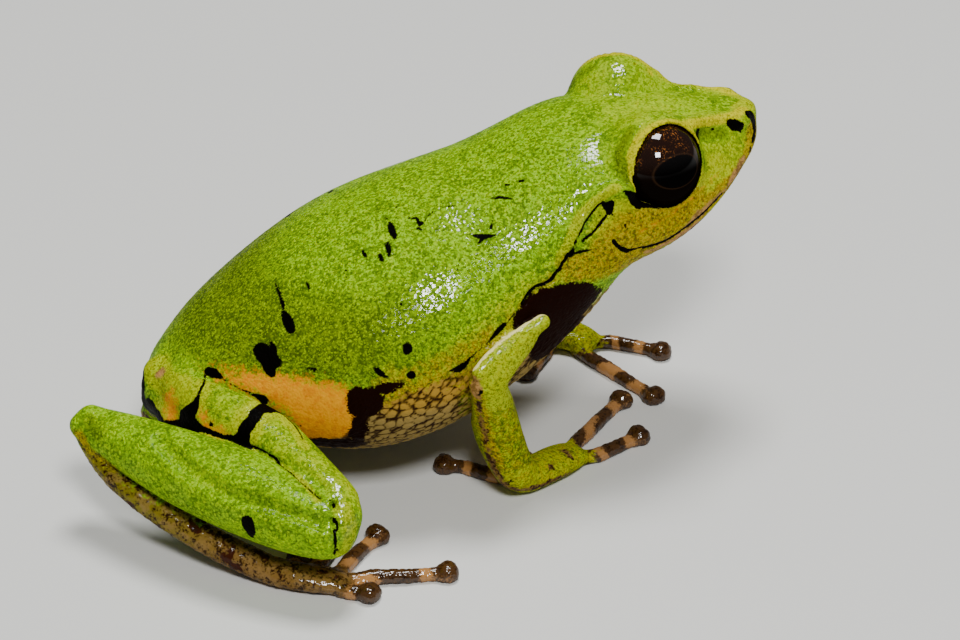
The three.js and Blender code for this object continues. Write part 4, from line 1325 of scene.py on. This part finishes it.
@dataclass
class Markings:
    """Works out every marking's distance at the skin's vertices."""

    points: np.ndarray
    normals: np.ndarray
    parts: Mapping[str, Flesh]
    nearest: dict[str, np.ndarray] = field(default_factory=dict)

    def __post_init__(self) -> None:
        """Measures how far each vertex lies from each part of the body."""
        for key, part in self.parts.items():
            self.nearest[key] = self.reach(part)

    def reach(self, part: Flesh) -> np.ndarray:
        """Distance from each vertex to one part of the body, as far as its block reaches."""
        place = self.points / VOXEL
        inside = np.all((place >= part.low) & (place <= part.low + np.array(part.values.shape) - 2), axis=1)
        made = np.full(len(self.points), BAND, np.float32)
        made[inside] = part.sample(self.points[inside])
        return made

    def on(self, *keys: str) -> np.ndarray:
        """How much nearer the named parts are than any other, negative on them, in millimetres."""
        own = np.min([self.nearest[k] for k in keys], axis=0)
        rest = np.min([v for k, v in self.nearest.items() if k not in keys], axis=0)
        return (own - rest) / 2

    def share(self, *keys: str) -> np.ndarray:
        """How much each vertex belongs to the named parts, from 0 to 1 over their borders."""
        return np.clip(0.5 - 2 * self.on(*keys), 0, 1)

    def near(self, curve: Curve, radius: float, reach: float) -> np.ndarray:
        """A soft stroke along a curve: one within its radius, fading over a reach."""
        away = np.clip(tube_distance(self.points, curve, [radius] * len(curve)), 0, None)
        return np.exp(-((away / reach) ** 2))

    def strokes(self, head: Sequence[Stroke], body: Sequence[Stroke]) -> np.ndarray:
        """The strongest of some soft strokes, on both sides of the head and of the body."""
        made = np.zeros(len(self.points))
        for side in Side:
            for place, rows in ((side.head, head), (side.line, body)):
                for curve, radius, reach, amount in rows:
                    made = np.maximum(made, amount * self.near(place(curve), radius, reach))
        return made

    def rope(self, curve: Curve, radii: Sequence[float]) -> np.ndarray:
        """Distance to a line laid on the skin, worked out only round about it.

        Args:
            curve: the line's corners, on the skin or nearly.
            radii: its radius, one for all or one at each corner.

        Returns:
            The distance of each vertex, negative inside the line.
        """
        margin, step = 1.5, 0.25
        corners = np.array(curve, float)
        radii = list(radii) if len(radii) > 1 else list(radii) * len(corners)
        low, high = corners.min(0) - margin, corners.max(0) + margin
        close = np.all((self.points > low) & (self.points < high), axis=1)
        made = np.full(len(self.points), 9.0)
        ground, slopes = self.points[close], self.normals[close]
        if len(ground) == 0:
            return made
        laid, widths = [], []
        for a, b, thick, thin in zip(corners[:-1], corners[1:], radii[:-1], radii[1:]):
            count = max(2, int(np.linalg.norm(b - a) / step) + 1)
            for t in np.linspace(0, 1, count)[len(laid) > 0 :]:
                place = a + (b - a) * t
                k = int(np.argmin(((ground - place) ** 2).sum(1)))
                laid.append(place - slopes[k] * float((place - ground[k]) @ slopes[k]))
                widths.append(thick + (thin - thick) * t)
        made[close] = tube_distance(ground, laid, widths)
        return made

    def ropes(self, place: Callable[[Curve], Sequence[Point]], rows: Sequence[Line]) -> np.ndarray:
        """Distance to the nearest of some lines laid on the skin, after they are placed on a side."""
        return np.min([self.rope(place(curve), radii) for curve, radii in rows], axis=0)

    def layers(self) -> dict[str, np.ndarray]:
        """All layers of the markings.

        Returns:
            A number per vertex for each attribute.
        """
        core = self.on("core")
        head = core < 0.3
        x, _, z = self.points.T
        yellow, rim = self.yellow(head, np.min([self.thigh_bars(side) for side in Side], axis=0))
        digits = self.on("toes_r", "toes_l", "fingers_r", "fingers_l")
        feet = self.on("foot_r", "foot_l", "toes_r", "toes_l")
        wet = -4 * np.minimum(feet, digits)
        arm = np.clip(1 - 3 * self.on("arm_r", "arm_l", "fingers_r", "fingers_l"), 0, 1)
        hand = arm * np.clip((2.6 - z) / 0.8, 0, 1)
        fore = arm * np.clip((7.6 - z) / 1.2, 0, 1)
        legs = self.share("shank_r", "shank_l", "thigh_r", "thigh_l")
        # Painted shade in the hollows of the head, where the yellow is also taken out.
        hollow = self.strokes(HEAD_SHADE, ()) * head
        brown = np.minimum(np.minimum(feet, digits + 0.05), self.ropes(Side.RIGHT.line, HAND_BROWN))
        front = np.clip((x - 3) / 4, 0, 1) * self.share("core")
        return {
            "ink": self.ink(),
            "orange": self.orange(core),
            "maroon": self.maroon(core),
            "belly": np.maximum(z - np.interp(x, BELLY_X, BELLY_EDGE), core),
            "brown": brown,
            "earthy": np.clip((x + 20.5) / 4, 0, 1),
            "dusky": np.clip(0.3 - 3 * digits, 0, 1),
            "pale": np.maximum(self.bands(), digits + 0.1),
            "yellow": np.maximum(yellow, 0.85 * (arm - fore) + 0.35 * fore + 0.5 * hand) * (1 - hollow),
            "gold": np.maximum(self.gold(head), np.maximum(0.35 * hand, 0.38 * fore)),
            "rim": rim,
            "flesh": self.flesh(),
            "white": self.white(),
            # Olive: painted shade on the flank, in the shank's furrow and in the hollows of the head, over
            # the forearm's own olive.
            "olive": np.maximum(0.85 * np.maximum(self.shade(), hollow), 0.75 * fore - 0.5 * hand),
            "velvet": np.maximum(front, 0.6 * legs),
            "film": np.maximum(self.film(), np.clip(wet, 0, 0.75) * np.clip((x + 14) / 2, 0.2, 1)),
            "wet": np.clip(wet, 0, 1),
        }

    def shade(self) -> np.ndarray:
        """Painted shade low on the rear flank and in the right shank's furrow, and the olive smudge on the
        heel.
        """
        x, _, z = self.points.T
        # The flank is darkened low down, as painted shade where less light reaches it.
        flank = np.exp(-(((x + 12.2) / 7.8) ** 4) - ((z - 10.7 - 0.12 * (x + 9.6)) / 2.0) ** 4)
        # The shank's furrow is darkened as painted shade in its crease.
        furrow = 0.6 * self.near(Side.RIGHT.line(SHANK_FURROW), 0.05, 0.22)
        heel = 0.65 * self.near(Side.RIGHT.line(HEEL_TOP), 0.2, 0.3)
        return np.maximum(flank * self.share("core"), np.maximum(furrow, heel) * self.share("shank_r"))

    def film(self) -> np.ndarray:
        """How thick the film of water is: puddles on the back, the head, the knee and the arm."""
        made = np.full(len(self.points), 0.03)
        for place, radius in PUDDLES:
            away = np.clip(np.linalg.norm(self.points - np.array(place), axis=1) - radius, 0, None)
            made = np.maximum(made, np.exp(-((away / 0.45) ** 2)))
        arm = 0.9 * self.near(Side.RIGHT.line(ARM_RIM), 0.2, 0.3) * self.share("arm_r")
        # It runs off what faces sideways or down.
        return np.maximum(made, arm) * np.clip((self.normals[:, 2] + 0.05) / 0.45, 0, 1)

    def gold(self, head: np.ndarray) -> np.ndarray:
        """How golden brown the cheeks, throat, lips, heels and hind edges of the forearms are.

        Args:
            head: whether a vertex is on the trunk or head.

        Returns:
            The amount, from 0 to 1.
        """
        made = self.strokes(HEAD_GOLD, BODY_GOLD) * head
        for curve, radius, reach, amount in LIMB_GOLD:
            made = np.maximum(made, amount * self.near(Side.RIGHT.line(curve), radius, reach))
        return made

    def flank(self, spots: Sequence[Spot], side: Side) -> np.ndarray:
        """Distance to the nearest of one side's spots."""
        made = np.min([s.distance(self.points) for s in spots], axis=0)
        return made + 3 * (self.points[:, 1] * side.value < 0)

    def ink(self) -> np.ndarray:
        """Black: flank spots, thigh bars, lines of the face and shoulder, and painted shade in the creases of
        armpit, thigh and knee.
        """
        tear = ragged(self.points, SEED)
        spots = np.minimum(self.flank(RIGHT_SPOTS, Side.RIGHT), self.flank(LEFT_SPOTS, Side.LEFT))
        made = np.maximum(spots, self.on("core")) + 0.12 * tear
        for side in Side:
            made = np.minimum(made, self.thigh_bars(side) + 0.16 * tear)
            for curve, radii in self.lines(side):
                made = np.minimum(made, self.rope(curve, radii) + 0.03 * tear)
            made = np.minimum(made, self.socket(side))
        made = np.minimum(made, self.ropes(Side.RIGHT.line, STROKES) - 0.02 + 0.04 * tear)
        return np.minimum(made, self.ropes(Side.RIGHT.line, SHANK_SPOT) + 0.06 * tear)

    def socket(self, side: Side) -> np.ndarray:
        """The dark lining between an eyeball and the edge of its lids."""
        rel = self.points - np.array(EYE_MIDDLE[side])
        out, ahead, above = gaze_frame(side)
        across = np.sqrt((rel @ ahead) ** 2 + (rel @ above - LID_RAISED) ** 2)
        away = np.linalg.norm(rel, axis=1) - EYE_RADIUS - 0.11
        return np.maximum(away, across - LID_OPEN - 0.3) + (rel @ out < 0)

    def lines(self, side: Side) -> list[Line]:
        """The black lines of one side: face, eardrum, mouth and shoulder, and painted shade in the creases of
        armpit, thigh and knee.
        """
        made = [(side.head(curve), radii) for curve, radii in FACE_LINES]
        made += [(smooth_curve(side.head(curve)), (0.09,)) for curve in (DRUM_BEHIND, DRUM_AHEAD)]
        made += [(smooth_curve(side.head(MOUTH_LINE), 5), (0.11,))]
        made += [(smooth_curve(side.line(SHOULDER_CREASE)), (0.1,))]
        # Along the thigh's upper edge, painted shadow in its crease against the flank.
        made += [(side.thigh(curve), radii) for curve, radii in THIGH_LINES]
        if side is Side.RIGHT:
            made += [(side.line(curve), radii) for curve, radii in RIGHT_LINES]
            # The valley between thigh and shank and the knee's crease are darkened as painted shade.
            made += [(smooth_curve(side.line(curve)), (0.09,)) for curve in (VALLEY, KNEE_CREASE)]
        return made

    def thigh_bars(self, side: Side) -> np.ndarray:
        """The black ground between a thigh's green bars."""
        ground = [tube_distance(self.points, side.thigh(curve), radii) for curve, radii in THIGH_BLACK]
        return np.maximum(np.min(ground, axis=0), self.on(f"thigh_{side.mark}", "core"))

    def orange(self, core: np.ndarray) -> np.ndarray:
        """The orange rear flank, and the orange tips of the thigh's bars and upper lips."""
        made = np.maximum(ORANGE_FLANK.distance(self.points), 3 * core + 0.4)
        made = np.maximum(made, self.points[:, 0] + 8.3)
        for side in Side:
            for curve, (radius,) in THIGH_ORANGE:
                placed = side.thigh(curve)
                made = np.minimum(made, tube_distance(self.points, placed, [radius] * len(curve)))
            made = np.minimum(made, self.rope(side.head(LIP_ORANGE), [0.1]) * 1.5 + 0.35)
        return made

    def maroon(self, core: np.ndarray) -> np.ndarray:
        """The dark brown patches behind the belly and between arm and throat, one partly painted shadow under
        the orange.
        """
        flank = np.min([s.distance(self.points) for s in MAROON_FLANK], axis=0)
        breast = np.min([s.distance(self.points) for s in MAROON_BREAST], axis=0)
        breast = np.maximum(breast, 4.6 - np.abs(self.points[:, 1]))
        patches = np.minimum(np.maximum(flank, core), np.maximum(breast, core - 0.08))
        return patches + 0.3 * ragged(self.points, SEED + 7)

    def flesh(self) -> np.ndarray:
        """Bare pinkish skin: the vent's flap, the elbow and the lips."""
        vent, elbow, *lips = (
            tube_distance(self.points, place(curve), radii)
            for place, (curve, radii) in (
                (Side.RIGHT.line, VENT_FLESH),
                (Side.RIGHT.line, ELBOW_FLESH),
                (Side.RIGHT.head, LIP_FLESH),
                (Side.LEFT.head, LIP_FLESH),
            )
        )
        upper = [self.ropes(side.head, [LIP_FLESH_UPPER]) for side in Side]
        made = np.min([vent, np.maximum(elbow, self.on("arm_r")), *lips, *upper], axis=0)
        return made + 0.25 * ragged(self.points, SEED + 40)

    def white(self) -> np.ndarray:
        """Cream: the hind edge of the upper arm, pale skin with a painted highlight, and the front of the
        breast.
        """
        made = np.maximum(self.rope(Side.RIGHT.line(ARM_RIM), ARM_RIM_RADII), self.on("arm_r"))
        curve, radii = BREAST_CREAM
        for side in Side:
            made = np.minimum(made, tube_distance(self.points, side.line(curve), radii))
        return made + 0.12 * ragged(self.points, SEED + 50)

    def bands(self) -> np.ndarray:
        """Pale bands across the digits, the first next to the disc, each digit's at its own spacing."""
        first, period = 1.15, 1.7
        away = np.full(len(self.points), np.inf)
        for kind in DIGITS:
            for side in Side:
                for middle, _ in discs(kind, side):
                    away = np.minimum(away, np.linalg.norm(self.points - middle, axis=1))
        wave = np.cos(2 * math.pi * (away - first) / period + 1.9 * drift(self.points, 1.1, SEED + 30))
        return np.maximum(0.3 * (0.35 - wave), 0.78 - away) + 0.16 * ragged(self.points, SEED + 31)

    def yellow(self, head: np.ndarray, bars: np.ndarray) -> tuple[np.ndarray, np.ndarray]:
        """How yellow the green is, and the bright rims of the eyelids and the ridges of the snout.

        Args:
            head: whether a vertex is on the trunk or head.
            bars: distance to the black ground of the thighs.

        Returns:
            Both, from 0 to 1.
        """
        right = Side.RIGHT.line
        made = self.strokes(HEAD_YELLOW, BODY_YELLOW)
        rims = np.zeros(len(self.points))
        for side in Side:
            out, ahead, above = gaze_frame(side)
            rel = self.points - np.array(EYE_MIDDLE[side])
            forth, lift, along = rel @ ahead, rel @ above - LID_RAISED, rel @ out
            edge = np.sqrt(forth**2 + lift**2) - LID_OPEN
            upper = np.clip(((lift - 0.55 * forth) / EYE_RADIUS + 0.45) / 0.3, 0, 1)
            lid = np.exp(-((np.clip(edge - 0.2, 0, None) / 0.14) ** 2)) * (along > 0) * upper
            made = np.maximum(made, lid)
            rims = np.maximum(rims, np.maximum(lid, self.near(side.head(CANTHUS_CREST), 0.14, 0.18)))
        crown = 0.32 * np.clip((self.points[:, 0] - 3.0) / 4, 0, 1) * (self.points[:, 2] > 16)
        made = np.maximum(made, crown) * head
        thigh = self.share("thigh_r", "thigh_l")
        edges = 0.36 + 0.55 * np.exp(-((np.clip(bars, 0, None) / 0.4) ** 2))
        shank = self.near(right(SHANK_RIM), 0.1, 0.16) * self.share("shank_r")
        shank = np.maximum(shank, 0.18 * self.share("shank_r", "shank_l"))
        legs = [
            0.85 * self.near(right(THIGH_EDGE), 0.12, 0.3) * thigh,
            0.75 * self.near(right(BUTTOCK), 0.5, 0.5),
            0.5 * self.near(right(KNEE_CAP), 0.35, 0.3),
            thigh * edges,
            0.8 * shank,
        ]
        return np.max([made, *legs], axis=0), rims * head


# ---- Pieces ----


def mesh_object(name: str, points: np.ndarray, faces: np.ndarray) -> bpy.types.Object:
    """A smooth-shaded object from points in metres and faces of one size."""
    mesh = bpy.data.meshes.new(name)
    size = faces.shape[1]
    mesh.vertices.add(len(points))
    mesh.vertices.foreach_set("co", points.astype(np.float32).ravel())
    mesh.loops.add(faces.size)
    mesh.loops.foreach_set("vertex_index", faces.astype(np.int32).ravel())
    mesh.polygons.add(len(faces))
    mesh.polygons.foreach_set("loop_start", np.arange(len(faces), dtype=np.int32) * size)
    mesh.update(calc_edges=True)
    mesh.validate()
    mesh.shade_smooth()
    made = bpy.data.objects.new(name, mesh)
    bpy.context.scene.collection.objects.link(made)
    return made


@dataclass
class Skin:
    """The whole skin as one piece."""

    sculptor: Sculptor = field(default_factory=Sculptor)

    def build(self) -> bpy.types.Object:
        """Makes the skin's object.

        Returns:
            It, with its markings and material.
        """
        flesh = self.sculptor.build()
        points, quads = flesh.quads()
        for _ in range(2):
            slope = flesh.slope(points)
            steep = np.maximum((slope**2).sum(1), 0.2)
            points = points - slope * (flesh.sample(points) / steep)[:, None]
        normals = flesh.slope(points)
        normals /= np.maximum(np.linalg.norm(normals, axis=1, keepdims=True), 1e-6)
        layers = Markings(points, normals, self.sculptor.parts).layers()
        layers["seam"] = cobbles(points, BELLY_COBBLE, SEED + 3)
        points = points + normals * self.relief(points, layers)[:, None]
        points[:, 2] = np.maximum(points[:, 2], 0)
        made = mesh_object("skin", (points + SHIFT) * MM, quads[:, ::-1])
        for name, values in layers.items():
            layer = made.data.attributes.new(name, "FLOAT", "POINT")
            layer.data.foreach_set("value", values.astype(np.float32))
        made.data.materials.append(SkinFinish().material())
        log.info("skin: %d vertices, %d quads", len(points), len(quads))
        return made

    @staticmethod
    def relief(points: np.ndarray, layers: Mapping[str, np.ndarray]) -> np.ndarray:
        """Height of the granules and cobbles over the smooth surface, in millimetres.

        Args:
            points: the skin's vertices.
            layers: the markings at them.

        Returns:
            The height at each vertex.
        """
        belly = np.clip(0.5 - layers["belly"] / 0.8, 0, 1)
        cobble = np.minimum(layers["seam"], 0.45) / 0.45
        grain = np.minimum(cobbles(points, MESH_GRANULE, SEED + 5), 0.4) / 0.4
        # What lies on the floor stays flat.
        raised = points[:, 2] > 0.05
        rough = 0.012 + 0.03 * layers["wet"]
        return (belly * (cobble - 0.7) * 0.07 + (1 - belly) * (grain - 0.7) * rough) * raised


@dataclass
class Eye:
    """One eyeball."""

    side: Side

    def build(self) -> bpy.types.Object:
        """Makes the eyeball's object, looking along its own +Z with its pupil level."""
        rings, around = 48, 64
        theta = np.linspace(0, math.pi, rings + 1)[:, None]
        phi = np.linspace(0, 2 * math.pi, around, endpoint=False)[None, :]
        ball = np.broadcast_arrays(np.sin(theta) * np.cos(phi), np.sin(theta) * np.sin(phi), np.cos(theta))
        points = np.stack(ball, -1).reshape(-1, 3) * EYE_RADIUS * MM
        row, column = np.meshgrid(np.arange(rings) * around, np.arange(around), indexing="ij")
        after = (column + 1) % around
        quads = np.stack([row + column, row + around + column, row + around + after, row + after], -1)
        made = mesh_object(f"eyeball_{self.side.mark}", points, quads.reshape(-1, 4))
        out = Vector(gaze_frame(self.side)[0])
        made.rotation_mode = "QUATERNION"
        made.rotation_quaternion = out.to_track_quat("Z", "Y")
        made.location = (np.array(EYE_MIDDLE[self.side]) + SHIFT) * MM
        made.data.materials.append(EyeFinish().material(self.side))
        return made


# ---- Studio ----


@dataclass(frozen=True)
class Softbox:
    """A square lamp: where it stands from the frog, in metres, its width and its power."""

    name: str
    place: Point
    width: float
    power: float
    colour: tuple[float, float, float] = (1.0, 1.0, 1.0)


LAMPS = (
    Softbox("overhead_softbox", (0.04, 0.07, 0.35), 0.1, 1.0),
    Softbox("front_softbox", (-0.02, -0.21, 0.28), 0.07, 0.88),
)


@dataclass
class Studio:
    """Floor, lamps and camera.

    The camera's distance and target are in millimetres in the frog's own frame, its lens and sensor in
    millimetres, and half of the floor's width in metres. The fill is the strength of the light all round.
    """

    azimuth: float = math.radians(-15)
    elevation: float = math.radians(32)
    distance: float = 217.98
    target: Point = (0.0, 0.0, 6.85)
    lens: float = 150.0
    sensor: float = 36.0
    fill: float = 0.1
    floor_half: float = 3.0

    def build(self) -> None:
        """Sets the stage round the frog."""
        self.floor()
        for lamp in LAMPS:
            self.light(lamp)
        world = bpy.data.worlds.new("studio_air")
        world.use_nodes = True
        world.node_tree.nodes["Background"].inputs[0].default_value = (1.0, 1.0, 1.0, 1.0)
        world.node_tree.nodes["Background"].inputs[1].default_value = self.fill
        bpy.context.scene.world = world
        self.camera()

    def floor(self) -> None:
        """A wide pale floor at the height of the soles."""
        corners = np.array([(-1, -1, 0), (1, -1, 0), (1, 1, 0), (-1, 1, 0)]) * self.floor_half
        made = mesh_object("floor", corners, np.array([[0, 1, 2, 3]]))
        graph = Graph("floor_pale_matt_paint")
        tone = graph.noise(graph.millimetres(), 40.0, 3.0)
        colour = graph.mixed(tone, linear(PALETTE.floor), linear(PALETTE.floor_light))
        graph.finish({"Base Color": colour, "Roughness": 0.7})
        made.data.materials.append(graph.material)

    def light(self, lamp: Softbox) -> None:
        """Hangs a softbox that faces the frog."""
        data = bpy.data.lights.new(lamp.name, "AREA")
        data.size = lamp.width
        data.energy = lamp.power
        data.color = lamp.colour
        made = bpy.data.objects.new(lamp.name, data)
        made.location = lamp.place
        aim = Vector(self.middle()) - Vector(lamp.place)
        made.rotation_mode = "QUATERNION"
        made.rotation_quaternion = aim.to_track_quat("-Z", "Y")
        bpy.context.scene.collection.objects.link(made)

    def middle(self) -> np.ndarray:
        """What the camera looks at, in the part's frame in metres."""
        return (np.array(self.target) + SHIFT) * MM

    def camera(self) -> None:
        """A long lens from the frog's right, a little behind it and well above."""
        data = bpy.data.cameras.new("camera")
        data.lens = self.lens
        data.sensor_width = self.sensor
        data.clip_start, data.clip_end = 0.01, 20
        made = bpy.data.objects.new("camera", data)
        level = math.cos(self.elevation)
        away = (math.sin(self.azimuth) * level, -math.cos(self.azimuth) * level, math.sin(self.elevation))
        back = np.array(away)
        made.location = self.middle() + back * self.distance * MM
        made.rotation_mode = "QUATERNION"
        made.rotation_quaternion = (-Vector(back)).to_track_quat("-Z", "Y")
        bpy.context.scene.collection.objects.link(made)
        bpy.context.scene.camera = made


def main() -> None:
    """Builds the frog and its stage in order."""
    logging.basicConfig(level=logging.INFO, format="%(name)s %(message)s")
    skin = Skin().build()
    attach(skin, "root")
    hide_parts(*[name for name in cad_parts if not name.startswith("eye_")])
    for side in Side:
        eye = Eye(side).build()
        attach(eye, "root")
        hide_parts(f"eye_{side.mark}")
    Studio().build()


if __name__ == "__main__":
    main()
